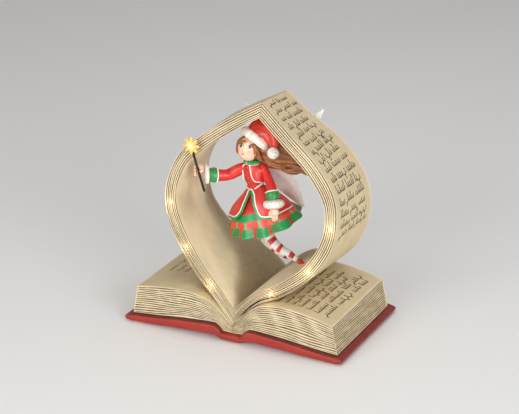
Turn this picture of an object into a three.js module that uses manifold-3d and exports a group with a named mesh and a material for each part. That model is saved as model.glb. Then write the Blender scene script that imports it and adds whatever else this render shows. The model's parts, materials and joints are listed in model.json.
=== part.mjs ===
// A lit table decoration: an open book whose middle pages curl up into a loop, with a winged
// doll in a red winter coat flying through it. Six small lamps sit among the page edges, and a
// box under the right-hand pages holds their cells, timer and switch.
// Millimetres, +Z up. The origin is on the table, under the middle of the cover.
import * as THREE from "three";
import { mergeVertices } from "three/addons/utils/BufferGeometryUtils.js";
import Module from "manifold-3d";

// General clearances
const GAP = 0.3; // between pieces that touch
const RUNNING = 0.4; // round a piece that moves
const OVERRUN = 4; // how far a cutter passes the face that it opens

// Cover
const COVER_HALF = 110; // spine to fore edge
const COVER_DEPTH = 126;
const COVER_RISE = 13.4; // top of the boards beside the spine
const COVER_LIFT = 0.8; // the feet hold the boards this far off the table
const COVER_BEVEL = 1.4;

// Page blocks
const PAGE_MARGIN = 6.2; // cover showing past the page edges, front and back
const BLOCK_HALF = 98.2; // spine to fore edge, at the top sheet
const BLOCK_SPLAY = 5.2; // how much further the bottom sheet reaches
const BLOCK_TOP = 42; // highest line of the top sheet
const SHEETS = 7; // page edges shown on a block
const BLOCK_GROOVE = 0.6;

// Page bands of the loop
const LOOP_HALF = 87.2;
const LOOP_VALLEY = 15; // where the bands leave the spine
const LOOP_RISE = 192.6; // valley to apex
const BAND = 11.3; // thickness of the curled sheets
const VALLEY_BAND = 9.4; // their thickness where they press together at the spine
const LEAN = 0.322; // how far the front edges lean back, per unit of height
const BAND_SHEETS = 5;
const BAND_GROOVE = 0.7;
const BAND_STATIONS = 22;
const LEAF = 1.2; // a sheet that has come away from its band
const LEAF_PARTING = 1.5; // widest space between that sheet and its band

// Lamps and their leads
const LAMP_RADIUS = 1.5;
const LAMP_LENGTH = 5.2;
const LAMP_PROUD = 0.4;
const LEAD_RADIUS = 0.7;
const LEAD_SIDES = 6;
const LEAD_STEPS = 30;
const SEARCH_STEPS = 30;
const LAMP_SIDES = 10;

// Cells, their box and door
const CELL_RADIUS = 5.25;
const CELL_LENGTH = 44.5;
const CELL_NUB_RADIUS = 1.9;
const CELL_NUB = 1;
const CELL_COUNT = 3;
const CELL_SPACE = 0.5;
const BOX_WALL = 1.6;
const BOX_HEIGHT = 15.6;
const BOX_BASE = 1.2; // height of its rim over the table
const CIRCUIT_BAY = 13; // width of the bay beside the cells
const CONTACT_PLATE = 0.8;
const CONTACT_REACH = 3;
const SPRING_RADIUS = 3;
const DOOR = 1.8;
const DOOR_BARREL = 1.2;
const DOOR_PIN = 0.8;
const DOOR_PIN_LENGTH = 1;
const THUMB_NOTCH = 4;

// Timer board and switch
const BOARD = 1.2;
const BOARD_LENGTH = 32;
const CHIP = 1.4;
const CHIP_SIDE = 7;
const SWITCH_LENGTH = 13;
const SWITCH_WIDTH = 6;
const SWITCH_HEIGHT = 4.6;
const KNOB_LENGTH = 3.6;
const KNOB_WIDTH = 2.4;
const KNOB_PROUD = 0.3;
const KNOB_TRAVEL = 2; // each way from the middle
const KNOB_SHANK = 2.2; // how far it reaches into the switch

// Feet
const FOOT_RADIUS = 5;
const FOOT_INSET = 13; // from the cover's edges

// The doll, whose tables give shares of her size from the middle of her waist
const DOLL_BACK = 74.8; // middle of her waist behind the front page edges
const WING_BEHIND = 2.7; // how far the wing tips pass behind the bands
const WAND_RADIUS = 1.1;
const STAR_RADIUS = 8.6;
const STAR_INNER = 5.4;
const STAR_POINTS = 8;
const STAR_THICKNESS = 2.6;
const WING_THICKNESS = 1.6;
const POMPOM_RADIUS = 5.4;
const HEM_WAVE = 1.3; // depth of the ruffle's folds
const HEM_FOLDS = 10;

const PAGE_FRONT = -COVER_DEPTH / 2 + PAGE_MARGIN;
const PAGE_BACK = COVER_DEPTH / 2 - PAGE_MARGIN;
const dollShare = 0.5192; // ankles to the brim of the hat, as a part of the loop's rise
const waistLeftShare = 0.1491; // middle of her waist, left of the spine
const waistUpShare = 0.5452; // and up the loop
const DOLL = LOOP_RISE * dollShare;
const WAIST = new THREE.Vector3(
  -LOOP_HALF * waistLeftShare,
  PAGE_FRONT + DOLL_BACK,
  LOOP_VALLEY + LOOP_RISE * waistUpShare
);
const boxPlaceShare = 0.591; // middle of the box, from the spine to the cover's edge
const BOX_X = COVER_HALF * boxPlaceShare;
const CELL_BAY = CELL_COUNT * 2 * CELL_RADIUS + (CELL_COUNT + 1) * CELL_SPACE;
const BAY_LENGTH = CELL_LENGTH + 2 * (CONTACT_REACH + CONTACT_PLATE + 2 * GAP);
const BOX_WIDTH = CELL_BAY + CIRCUIT_BAY + 3 * BOX_WALL;
const BOX_LENGTH = BAY_LENGTH + 2 * BOX_WALL;
const CELL_BAY_X = (-CIRCUIT_BAY - BOX_WALL) / 2; // from the middle of the box
const CIRCUIT_BAY_X = (CELL_BAY + BOX_WALL) / 2;

// Tables of shares
// Cover, spine to fore edge: across, height of the top, height of the underside
const coverShares = [
  [0, 0.47, 0.02],
  [0.09, 0.5, 0.04],
  [0.118, 0.8, 0.16],
  [0.155, 1, 0.27],
  [0.227, 1, 0.29],
  [0.464, 0.86, 0.2],
  [0.745, 0.6, 0.07],
  [0.985, 0.44, 0],
  [1, 0.36, 0.08],
];
// Top sheet of the right block, spine to fore edge: across, height over the valley
const rightSheetShares = [
  [0, 0],
  [0.08, 0.28],
  [0.18, 0.6],
  [0.28, 0.86],
  [0.38, 0.96],
  [0.5, 1],
  [0.62, 0.98],
  [0.82, 0.85],
  [1, 0.68],
];
const leftSheetShares = [
  [0, 0],
  [0.08, 0.27],
  [0.18, 0.56],
  [0.28, 0.76],
  [0.38, 0.87],
  [0.5, 0.92],
  [0.62, 0.91],
  [0.82, 0.84],
  [1, 0.74],
];
// Outer sheet of each band, apex to valley, at the front edge and at the back: across, up
const rightFrontShares = [
  [0, 1],
  [0.36, 0.878],
  [0.715, 0.755],
  [0.94, 0.63],
  [1, 0.503],
  [0.96, 0.399],
  [0.79, 0.272],
  [0.49, 0.165],
  [0.274, 0.121],
  [0.126, 0.066],
  [0, 0],
];
const rightBackShares = [
  [0, 0.982],
  [0.321, 0.873],
  [0.665, 0.77],
  [0.914, 0.62],
  [0.976, 0.493],
  [0.947, 0.382],
  [0.814, 0.252],
  [0.596, 0.158],
  [0.344, 0.135],
  [0.138, 0.071],
  [0, 0],
];
const leftFrontShares = [
  [0, 1],
  [0.336, 0.911],
  [0.652, 0.808],
  [0.872, 0.713],
  [0.975, 0.578],
  [0.95, 0.475],
  [0.812, 0.357],
  [0.51, 0.202],
  [0.241, 0.1],
  [0, 0],
];
const leftBackShares = [
  [0, 0.982],
  [0.356, 0.899],
  [0.688, 0.806],
  [0.929, 0.705],
  [1.06, 0.583],
  [1.072, 0.475],
  [1.009, 0.348],
  [0.711, 0.198],
  [0.31, 0.122],
  [0, 0],
];
const mitreFanShare = 0.35; // how fast the sheets' cross-lines open from a mitre
const leafTipShare = 0.3; // thickness of the loose sheet where it starts
const leafSpanShare = 9 / BAND_STATIONS; // part of each band's length that its loose sheet follows
const leafWearRate = 4; // how soon it thickens along its length
const bandTaperShare = 0.6; // part of a band's length after which it thins towards the spine
const leftLampShares = [0.49, 0.291, 0.139]; // heights up the loop
const rightLampShares = [0.502, 0.281, 0.146];
const lampSearchShares = [0.3, 1]; // part of a band's length that its lamps lie on
// A lead: places along its band, then across under the pages, then where it enters the box
const leadBandShares = [0.94, 0.86, 0.78, 0.7, 0.62, 0.56];
const leadClearShare = 0.04; // how far short of its last lamp it turns straight
const leadGutterShares = { right: 0.09, left: -0.075, back: 0.02 };
const leadUnderShares = [0.17, 0.26];
const leadEntryShares = [-0.18, -0.32];
const springShares = [1, 0.75, 0.85, 0.6, 0.7, 0.45]; // a spring's outline, wide and narrow coils
const notchDepthShare = 0.7; // how far below the rim the thumb notch is centred

// Doll: rings are [x, y, z, half width, half depth, rise across, rise back]
const headShares = [
  [-0.062, -0.015, 0.262, 0.03, 0.03, 0, 0],
  [-0.066, -0.018, 0.282, 0.062, 0.062, 0, 0],
  [-0.069, -0.012, 0.31, 0.086, 0.088, 0, 0],
  [-0.07, -0.006, 0.345, 0.096, 0.1, 0, 0],
  [-0.07, 0, 0.385, 0.099, 0.105, 0, 0],
  [-0.067, 0.004, 0.425, 0.094, 0.1, 0, 0],
  [-0.062, 0.006, 0.46, 0.074, 0.08, 0, 0],
  [-0.058, 0.006, 0.482, 0.035, 0.04, 0, 0],
];
const collarShares = [
  [-0.036, 0, 0.232, 0.074, 0.07, 0.05, 0],
  [-0.038, 0, 0.244, 0.082, 0.076, 0.05, 0],
  [-0.042, 0, 0.258, 0.08, 0.074, 0.05, 0],
  [-0.044, 0, 0.27, 0.066, 0.062, 0.05, 0],
];
const jacketShares = [
  [-0.002, 0, 0.004, 0.088, 0.072, 0.16, 0],
  [-0.006, 0, 0.03, 0.084, 0.07, 0.12, 0],
  [-0.018, -0.006, 0.09, 0.1, 0.082, 0, 0],
  [-0.026, -0.004, 0.15, 0.108, 0.084, 0, 0],
  [-0.03, 0, 0.195, 0.112, 0.078, 0, 0],
  [-0.034, 0, 0.222, 0.086, 0.07, 0, 0],
  [-0.036, 0, 0.238, 0.062, 0.06, 0, 0],
];
const overskirtShares = [
  [0, 0, 0.012, 0.082, 0.07, 0.16, 0],
  [0.004, 0, -0.03, 0.125, 0.108, 0.24, 0],
  [0.008, 0.006, -0.08, 0.185, 0.155, 0.27, 0],
  [0.012, 0.016, -0.14, 0.245, 0.2, 0.27, 0.01],
  [0.022, 0.028, -0.2, 0.285, 0.242, 0.25, 0.03],
  [0.03, 0.034, -0.246, 0.308, 0.268, 0.225, 0.047],
];
const underskirtShares = [
  [0.01, 0.01, -0.1, 0.16, 0.13, 0.33, 0],
  [0.012, 0.02, -0.17, 0.235, 0.19, 0.34, 0.02],
  [0.034, 0.032, -0.243, 0.285, 0.24, 0.3, 0.11],
  [0.054, 0.042, -0.292, 0.32, 0.27, 0.27, 0.18],
  [0.071, 0.045, -0.336, 0.345, 0.3, 0.24, 0.225],
  [0.066, 0.045, -0.326, 0.31, 0.265, 0.24, 0.225],
  [0.055, 0.04, -0.26, 0.24, 0.19, 0.28, 0.14],
];
const ruffleShares = [0, 0, 0.3, 0.7, 1, 1, 0]; // depth of the folds at each ring
// Opening down the front of the overskirt: across, up
const openingShares = [
  [-0.006, -0.03],
  [0.016, -0.045],
  [0.031, -0.075],
  [0.049, -0.11],
  [0.074, -0.146],
  [0.099, -0.178],
  [0.128, -0.203],
  [0.17, -0.212],
  [0.17, -0.5],
  [-0.18, -0.5],
  [-0.18, -0.3],
  [-0.138, -0.279],
  [-0.095, -0.248],
  [-0.063, -0.207],
  [-0.042, -0.165],
  [-0.031, -0.121],
  [-0.027, -0.081],
  [-0.026, -0.045],
];
const openingDepthShares = [-0.02, 0.4]; // where it starts behind the front, and how far it runs
// Doll: limbs are [x, y, z, radius]
const wandSleeveShares = [
  [-0.085, -0.01, 0.192, 0.042],
  [-0.13, -0.025, 0.175, 0.052],
  [-0.19, -0.05, 0.138, 0.054],
  [-0.25, -0.095, 0.115, 0.053],
  [-0.315, -0.15, 0.119, 0.054],
];
const wandCuffShares = [
  [-0.318, -0.152, 0.12, 0.062],
  [-0.335, -0.166, 0.123, 0.068],
  [-0.358, -0.18, 0.127, 0.068],
  [-0.372, -0.188, 0.13, 0.062],
];
const wandFurShares = [
  [-0.3778, -0.1901, 0.1353, 0.074],
  [-0.3879, -0.1966, 0.1356, 0.086],
  [-0.398, -0.203, 0.136, 0.09],
  [-0.4081, -0.2094, 0.1364, 0.086],
  [-0.4182, -0.2159, 0.1367, 0.07],
];
const wandHandShares = [
  [-0.424, -0.206, 0.168, 0.036],
  [-0.45, -0.212, 0.174, 0.046],
  [-0.474, -0.216, 0.18, 0.047],
  [-0.494, -0.22, 0.184, 0.034],
];
const wandShares = [
  [-0.438, -0.186, -0.05],
  [-0.47, -0.338, 0.398],
];
const lowSleeveShares = [
  [0.068, 0.018, 0.196, 0.042],
  [0.098, 0.006, 0.172, 0.052],
  [0.135, -0.022, 0.128, 0.052],
  [0.17, -0.045, 0.085, 0.05],
  [0.205, -0.088, 0.035, 0.05],
];
const lowCuffShares = [
  [0.207, -0.09, 0.032, 0.056],
  [0.216, -0.1, 0.012, 0.062],
  [0.226, -0.112, -0.014, 0.062],
  [0.23, -0.118, -0.028, 0.056],
];
const lowFurShares = [
  [0.2386, -0.1222, -0.0392, 0.066],
  [0.2408, -0.125, -0.0527, 0.088],
  [0.244, -0.129, -0.072, 0.095],
  [0.2472, -0.133, -0.0913, 0.088],
  [0.2494, -0.1358, -0.1048, 0.066],
];
const lowHandShares = [
  [0.256, -0.141, -0.115, 0.036],
  [0.258, -0.145, -0.135, 0.042],
  [0.26, -0.15, -0.16, 0.046],
  [0.262, -0.153, -0.19, 0.04],
  [0.262, -0.154, -0.215, 0.02],
];
const frontLegShares = [
  [0.07, 0.02, -0.24, 0.05],
  [0.14, 0.01, -0.46, 0.052],
  [0.245, 0, -0.556, 0.046],
  [0.335, 0, -0.6, 0.037],
  [0.425, 0, -0.648, 0.023],
];
const frontShoeShares = [
  [0.428, 0, -0.65, 0.025],
  [0.443, 0, -0.657, 0.028],
  [0.463, 0, -0.665, 0.022],
  [0.48, 0, -0.672, 0.013],
  [0.494, 0, -0.678, 0.005],
];
const backLegShares = [
  [-0.01, 0.09, -0.24, 0.048],
  [0.02, 0.08, -0.45, 0.05],
  [0.095, 0.07, -0.556, 0.044],
  [0.18, 0.06, -0.606, 0.037],
  [0.255, 0.06, -0.649, 0.026],
];
const backShoeShares = [
  [0.258, 0.06, -0.651, 0.027],
  [0.269, 0.06, -0.657, 0.029],
  [0.284, 0.06, -0.665, 0.023],
  [0.298, 0.06, -0.672, 0.013],
  [0.308, 0.06, -0.677, 0.005],
];
const hatShares = [
  [-0.04, 0.034, 0.441, 0.108],
  [-0.026, 0.064, 0.485, 0.112],
  [0.01, 0.09, 0.54, 0.098],
  [0.07, 0.085, 0.58, 0.086],
  [0.13, 0.06, 0.568, 0.072],
  [0.175, 0.02, 0.53, 0.06],
  [0.198, -0.02, 0.475, 0.048],
  [0.203, -0.052, 0.442, 0.032],
];
const hatAxisShares = [0.25, 0.55, 0.79]; // direction that the brim faces
const brimShares = [-0.036, 0.042, 0.453, 0.108, 0.108, 0.034]; // centre, radii, roll
const pompomShares = [0.205, -0.06, 0.388];
const hairCapShares = [-0.05, 0.045, 0.375, 0.115, 0.115, 0.125]; // centre and half sizes
const hairTailShares = [
  [-0.03, 0.06, 0.38, 0.1],
  [0.05, 0.07, 0.37, 0.15],
  [0.13, 0.08, 0.365, 0.18],
  [0.21, 0.09, 0.335, 0.168],
  [0.3, 0.105, 0.297, 0.125],
  [0.39, 0.12, 0.255, 0.08],
  [0.47, 0.135, 0.215, 0.035],
  [0.51, 0.14, 0.195, 0.01],
];
const tailFlatShare = 0.5; // depth of the flying hair against its height
const wingRootShare = 0.16; // how far behind her middle the wings start
// Wings: an edge line and the line that it is spread from, both [x, way to the tip plane, z]
const rightUpperWingShares = [
  [[0.0, 0, 0.14], [0.02, 0, 0.08]],
  [[0.1, 0.431, 0.3], [0.16, 0.431, 0.19]],
  [[0.2, 0.824, 0.44], [0.29, 0.824, 0.34]],
  [[0.33, 0.961, 0.57], [0.41, 0.961, 0.5]],
  [[0.478, 1, 0.704], [0.49, 1, 0.69]],
];
const leftUpperWingShares = [
  [[-0.05, 0, 0.14], [-0.03, 0, 0.08]],
  [[-0.14, 0.431, 0.28], [-0.06, 0.431, 0.3]],
  [[-0.21, 0.824, 0.42], [-0.11, 0.824, 0.46]],
  [[-0.25, 0.961, 0.53], [-0.18, 0.961, 0.56]],
  [[-0.3, 1, 0.628], [-0.286, 1, 0.63]],
];
const rightLowerWingShares = [
  [[0.0, 0, 0.15], [0.01, 0, 0.06]],
  [[0.14, 0.039, 0.17], [0.09, 0.039, 0.0]],
  [[0.26, 0.078, 0.13], [0.16, 0.078, -0.07]],
  [[0.34, 0.118, 0.0], [0.25, 0.118, -0.13]],
  [[0.395, 0.157, -0.19], [0.38, 0.157, -0.205]],
];
const leftLowerWingShares = [
  [[-0.04, 0, 0.12], [-0.02, 0, 0.04]],
  [[-0.1, 0.078, 0.06], [-0.04, 0.078, -0.02]],
  [[-0.14, 0.157, -0.02], [-0.06, 0.157, -0.08]],
  [[-0.15, 0.235, -0.1], [-0.1, 0.235, -0.13]],
  [[-0.14, 0.275, -0.16], [-0.13, 0.275, -0.165]],
];

const wasm = await Module();
wasm.setup();

// Solids

/** A closed indexed geometry as a solid with its faces outward. */
function solidOf(geometry) {
  const bare = geometry.clone();
  bare.deleteAttribute("normal");
  bare.deleteAttribute("uv");
  const merged = mergeVertices(bare, 1e-4);
  const triVerts = new Uint32Array(merged.index.array);
  const make = () =>
    new wasm.Manifold(
      new wasm.Mesh({ numProp: 3, vertProperties: merged.attributes.position.array, triVerts })
    );
  const made = make();
  if (made.volume() > 0) return made;
  for (let i = 0; i < triVerts.length; i += 3) {
    [triVerts[i], triVerts[i + 1]] = [triVerts[i + 1], triVerts[i]];
  }
  return make();
}

/** The solid back as a geometry for a mesh. */
function geometryOf(solid) {
  const mesh = solid.getMesh();
  const geometry = new THREE.BufferGeometry();
  geometry.setAttribute("position", new THREE.BufferAttribute(mesh.vertProperties, 3));
  geometry.setIndex(new THREE.BufferAttribute(mesh.triVerts, 1));
  return geometry;
}

/** The solid less its cutters. Where a cut leaves slivers, only the largest body stays. */
function cut(solid, ...cutters) {
  const rest = cutters.reduce((left, cutter) => left.subtract(cutter), solid);
  const bodies = rest.decompose();
  return bodies.reduce((best, body) => (body.volume() > best.volume() ? body : best));
}

/** A closed geometry from points and triangles. */
function meshFrom(points, triangles) {
  const geometry = new THREE.BufferGeometry();
  geometry.setAttribute(
    "position",
    new THREE.Float32BufferAttribute(points.flatMap((p) => [p.x, p.y, p.z]), 3)
  );
  geometry.setIndex(triangles);
  return geometry;
}

/** Rings of equal count joined in order, with a fan over each end. */
function ringLoft(rings) {
  const sides = rings[0].length;
  const points = rings.flat();
  const triangles = [];
  for (let i = 0; i < rings.length - 1; i++) {
    for (let j = 0; j < sides; j++) {
      const a = i * sides + j;
      const b = i * sides + ((j + 1) % sides);
      triangles.push(a, b, a + sides, b, b + sides, a + sides);
    }
  }
  for (const [first, turn] of [[0, true], [(rings.length - 1) * sides, false]]) {
    const middle = new THREE.Vector3();
    for (let j = 0; j < sides; j++) middle.addScaledVector(points[first + j], 1 / sides);
    points.push(middle);
    for (let j = 0; j < sides; j++) {
      const a = first + j;
      const b = first + ((j + 1) % sides);
      triangles.push(...(turn ? [b, a, points.length - 1] : [a, b, points.length - 1]));
    }
  }
  return solidOf(meshFrom(points, triangles));
}

/**
 * A stack of sheets. Each station is a list of [front, back] points, from the first sheet to the
 * last, and the stations follow one another along the sheets.
 */
function sheetStack(stations) {
  const levels = stations[0].length;
  const points = stations.flatMap((station) => station.flat());
  const at = (i, k, back) => (i * levels + k) * 2 + (back ? 1 : 0);
  const triangles = [];
  const quad = (a, b, c, d) => triangles.push(a, b, c, a, c, d);
  const last = stations.length - 1;
  for (let i = 0; i < last; i++) {
    for (let k = 0; k < levels - 1; k++) {
      quad(at(i, k, 0), at(i + 1, k, 0), at(i + 1, k + 1, 0), at(i, k + 1, 0));
      quad(at(i, k, 1), at(i, k + 1, 1), at(i + 1, k + 1, 1), at(i + 1, k, 1));
    }
    quad(at(i, 0, 0), at(i, 0, 1), at(i + 1, 0, 1), at(i + 1, 0, 0));
    const top = levels - 1;
    quad(at(i, top, 0), at(i + 1, top, 0), at(i + 1, top, 1), at(i, top, 1));
  }
  for (let k = 0; k < levels - 1; k++) {
    quad(at(0, k, 0), at(0, k + 1, 0), at(0, k + 1, 1), at(0, k, 1));
    quad(at(last, k, 0), at(last, k, 1), at(last, k + 1, 1), at(last, k + 1, 0));
  }
  return solidOf(meshFrom(points, triangles));
}

/** A box between two corners. */
function block(low, high) {
  const size = high.map((value, axis) => value - low[axis]);
  const geometry = new THREE.BoxGeometry(...size);
  geometry.translate(...low.map((value, axis) => value + size[axis] / 2));
  return solidOf(geometry);
}

/** A round bar along +Y, from its middle. */
function barAlongY(radius, length, centre, sides) {
  const geometry = new THREE.CylinderGeometry(radius, radius, length, sides);
  geometry.translate(...centre);
  return solidOf(geometry);
}

/** An ellipsoid. */
function ball(centre, radii, sides) {
  const geometry = new THREE.SphereGeometry(1, sides, Math.round(sides / 2));
  geometry.scale(...radii);
  geometry.translate(centre.x, centre.y, centre.z);
  return solidOf(geometry);
}

/** Value of the second column where the first one is x, joined by straight lines. */
function alongTable(table, x, column = 1) {
  const next = Math.max(1, table.findIndex((row) => row[0] >= x));
  const high = x > table[table.length - 1][0] ? table.length - 1 : next;
  const [a, b] = [table[high - 1], table[high]];
  return a[column] + ((b[column] - a[column]) * (x - a[0])) / (b[0] - a[0]);
}

// Book

const coverTop = (x) => COVER_LIFT + COVER_RISE * alongTable(coverShares, x / COVER_HALF, 1);
const coverUnderside = (x) => COVER_LIFT + COVER_RISE * alongTable(coverShares, x / COVER_HALF, 2);

/** Boards and spine as one bent sheet, its edges rounded off. */
function makeCover(raised = 0) {
  const half = coverShares.map(([x, top, under]) => [
    x * (COVER_HALF - COVER_BEVEL),
    COVER_LIFT + top * COVER_RISE - COVER_BEVEL,
    COVER_LIFT + under * COVER_RISE + COVER_BEVEL,
  ]);
  const outline = [
    ...half.slice(1).reverse().map(([x, top]) => [-x, top]),
    ...half.map(([x, top]) => [x, top]),
    ...[...half].reverse().map(([x, , under]) => [x, under]),
    ...half.slice(1).map(([x, , under]) => [-x, under]),
  ].map(([x, z]) => new THREE.Vector2(x, z));
  const geometry = new THREE.ExtrudeGeometry(new THREE.Shape(outline), {
    depth: COVER_DEPTH - 2 * COVER_BEVEL,
    bevelThickness: COVER_BEVEL,
    bevelSize: COVER_BEVEL,
    bevelSegments: 2,
  });
  geometry.rotateX(Math.PI / 2);
  geometry.translate(0, COVER_DEPTH / 2 - COVER_BEVEL, raised);
  return solidOf(geometry);
}

/** One half of the pages: side is 1 on the right and -1 on the left. */
function makePageBlock(side, sheetShares) {
  const columns = new Set([GAP / 2 / BLOCK_HALF, ...sheetShares.slice(1).map(([x]) => x)]);
  const bends = coverShares.slice(1).map(([x]) => (x * COVER_HALF) / BLOCK_HALF);
  for (const bend of bends.filter((x) => x < 1)) columns.add(bend);
  const levels = 2 * SHEETS;
  const gutter = LOOP_VALLEY - 2 * GAP;
  const rise = BLOCK_TOP - gutter;
  const stations = [...columns].sort((a, b) => a - b).map((share) => {
    const top = gutter + rise * alongTable(sheetShares, share);
    return Array.from({ length: levels + 1 }, (_, k) => {
      const up = k / levels;
      const groove = k % 2 ? BLOCK_GROOVE : 0;
      const outer = share === 1 ? BLOCK_SPLAY * (1 - up) - groove : 0;
      const x = share * BLOCK_HALF + outer;
      const bottom = coverTop(x) + GAP;
      const z = bottom + (top - bottom) * up;
      return [
        new THREE.Vector3(side * x, PAGE_FRONT + groove, z),
        new THREE.Vector3(side * x, PAGE_BACK - groove, z),
      ];
    });
  });
  return sheetStack(stations);
}

/** A band's outer sheet at the front or the back, as a curve in the XZ plane. */
function bandCurve(shares, side) {
  return new THREE.CatmullRomCurve3(
    shares.map(([x, z]) => new THREE.Vector3(side * x * LOOP_HALF, 0, LOOP_VALLEY + z * LOOP_RISE)),
    false,
    "centripetal"
  );
}

/** Height of the leaning front edge turned into its place in depth. */
const frontEdge = (z) => PAGE_FRONT + LEAN * (z - LOOP_VALLEY);

/** The band's thickness at a share of its length. */
const bandThickness = (share) =>
  THREE.MathUtils.lerp(BAND, VALLEY_BAND, THREE.MathUtils.smoothstep(share, bandTaperShare, 1));

/**
 * The point at a share of the curve's length, moved inward by some of the band's thickness.
 * Near the two mitres it slides along the sheet, so that the sheets end on the middle plane.
 */
function insideBand(curve, side, share, inward) {
  const point = curve.getPoint(share);
  const tangent = curve.getTangent(share);
  const normal = new THREE.Vector3(tangent.z, 0, -tangent.x).multiplyScalar(side);
  const nearest = GAP / 2 + mitreFanShare * Math.abs(point.x);
  point.addScaledVector(normal, inward);
  if (side * point.x < nearest) point.addScaledVector(tangent, (side * nearest - point.x) / tangent.x);
  return point;
}

/** How far a share of the band's length lies along the loose sheet, 0 to 1. */
const alongLeaf = (share) => (share - 1 + leafSpanShare) / leafSpanShare;

/** The loose sheet's thickness, worn thin where it starts. */
const leafThickness = (share) =>
  LEAF * THREE.MathUtils.clamp(leafTipShare + leafWearRate * alongLeaf(share), leafTipShare, 1);

/** Room that a band leaves on its outside for the loose sheet, by share of its length. */
function leafRoom(share) {
  const along = alongLeaf(share);
  if (along < -1e-6) return 0;
  return leafThickness(share) + GAP + LEAF_PARTING * Math.sin(Math.PI * Math.min(1, along)) ** 2;
}

/** A stack between two depths of the band: from and to give depth by share of its length. */
function bandStack(side, front, back, from, to, levels, groove, start = 0, grow = 0) {
  const first = Math.round(start * BAND_STATIONS);
  const stations = [];
  for (let i = first; i <= BAND_STATIONS; i++) {
    const share = i / BAND_STATIONS;
    stations.push(
      Array.from({ length: levels + 1 }, (_, k) => {
        const inward = from(share) + ((to(share) - from(share)) * k) / levels;
        const inset = (k % 2 ? groove : 0) - grow;
        const near = insideBand(front, side, share, inward);
        const far = insideBand(back, side, share, inward);
        near.y = frontEdge(near.z) + inset;
        far.y = PAGE_BACK - inset;
        return [near, far];
      })
    );
  }
  return sheetStack(stations);
}

const bandOf = (side, front, back) =>
  bandStack(side, front, back, leafRoom, bandThickness, 2 * BAND_SHEETS, BAND_GROOVE);

/** The band with a clearance all round, which cuts what lies against it. */
const roomForBand = (side, front, back) =>
  bandStack(side, front, back, () => -1.5 * GAP, (share) => bandThickness(share) + GAP, 1, 0, 0, GAP);

/** The sheet that has come away along the lower part of a band. */
const looseLeaf = (side, front, back) =>
  bandStack(side, front, back, () => 0, leafThickness, 1, 0, 1 - leafSpanShare);

// Lamps and leads

const FRONT_NORMAL = new THREE.Vector3(0, -1, LEAN).normalize();
const LAMP_DEPTH = LAMP_LENGTH - LAMP_PROUD; // how far a lamp reaches behind the page edges
const LEAD_DEPTH = LAMP_DEPTH + GAP + LEAD_RADIUS; // middle of the lead behind the page edges

/** Share of a curve's length where it passes a height, looked for from its middle down. */
function shareAtHeight(curve, z) {
  let [high, low] = lampSearchShares;
  for (let i = 0; i < SEARCH_STEPS; i++) {
    const middle = (high + low) / 2;
    if (curve.getPoint(middle).z > z) high = middle;
    else low = middle;
  }
  return (high + low) / 2;
}

/** A point among the page edges, at a share of the band's length and a depth behind them. */
function behindEdge(curve, side, share, depth) {
  const point = insideBand(curve, side, share, BAND / 2);
  point.y = frontEdge(point.z);
  return point.addScaledVector(FRONT_NORMAL, -depth);
}

/** Where the lamps of one band sit, top first: points on the leaning front. */
function lampPlaces(curve, side, heights) {
  return heights.map((height) => {
    const share = shareAtHeight(curve, LOOP_VALLEY + height * LOOP_RISE);
    return { share, point: behindEdge(curve, side, share, 0) };
  });
}

/** A lamp along +Z from the end of its body, with a round tip. */
function lampGeometry() {
  const body = LAMP_LENGTH - LAMP_RADIUS;
  const tip = [1, 2, 3].map((step) => [
    step < 3 ? LAMP_RADIUS * Math.cos((step * Math.PI) / 6) : 0,
    body + LAMP_RADIUS * Math.sin((step * Math.PI) / 6),
  ]);
  const profile = [[0, 0], [LAMP_RADIUS, 0], [LAMP_RADIUS, body], ...tip];
  const outline = profile.map(([r, z]) => new THREE.Vector2(r, z));
  const geometry = new THREE.LatheGeometry(outline, LAMP_SIDES);
  return geometry.rotateX(Math.PI / 2);
}

/** The bore that a lamp sits in, from the page edges back to the lead. */
function lampBore(point) {
  const length = LAMP_DEPTH + GAP + OVERRUN;
  const geometry = new THREE.CylinderGeometry(LAMP_RADIUS + GAP, LAMP_RADIUS + GAP, length, LAMP_SIDES);
  geometry.translate(0, OVERRUN - length / 2, 0);
  geometry.applyQuaternion(new THREE.Quaternion().setFromUnitVectors(
    new THREE.Vector3(0, 1, 0), FRONT_NORMAL));
  geometry.translate(point.x, point.y, point.z);
  return solidOf(geometry);
}

/** The route of a band's lead: up inside the band from the box under the right-hand pages. */
function leadRoute(curve, side, topShare, boxPoint) {
  const inBand = leadBandShares.filter((share) => share > topShare + leadClearShare);
  const points = [...inBand, topShare].map((share) => behindEdge(curve, side, share, LEAD_DEPTH));
  const level = coverTop(COVER_HALF * coverShares[3][0]) + GAP + 3 * LEAD_RADIUS;
  const gutter = (coverTop(0) + LOOP_VALLEY) / 2;
  const depth = points[0].y;
  const low = side > 0
    ? [[leadGutterShares.right, depth, gutter + 3 * LEAD_RADIUS]]
    : [
        [leadGutterShares.left, depth, gutter + 2 * LEAD_RADIUS],
        [0, depth + leadGutterShares.back * COVER_DEPTH, gutter],
      ];
  const rest = leadUnderShares.map((x, i) => [
    x, THREE.MathUtils.lerp(depth, boxPoint.y, (i + 1) / 3), level]);
  const under = [...low, ...rest].map(([x, y, z]) => new THREE.Vector3(x * BLOCK_HALF, y, z));
  return new THREE.CatmullRomCurve3([boxPoint, ...under.reverse(), ...points], false, "centripetal");
}

/** A round bar along a route. */
function barAlong(route, radius) {
  const section = new THREE.Shape();
  section.absarc(0, 0, radius, 0, 2 * Math.PI);
  const geometry = new THREE.ExtrudeGeometry(section, {
    steps: LEAD_STEPS,
    curveSegments: LEAD_SIDES / 2,
    extrudePath: route,
  });
  return solidOf(geometry);
}

// Box with cells, contacts, timer and switch: X and Y from the middle of the box, Z from its rim

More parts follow.
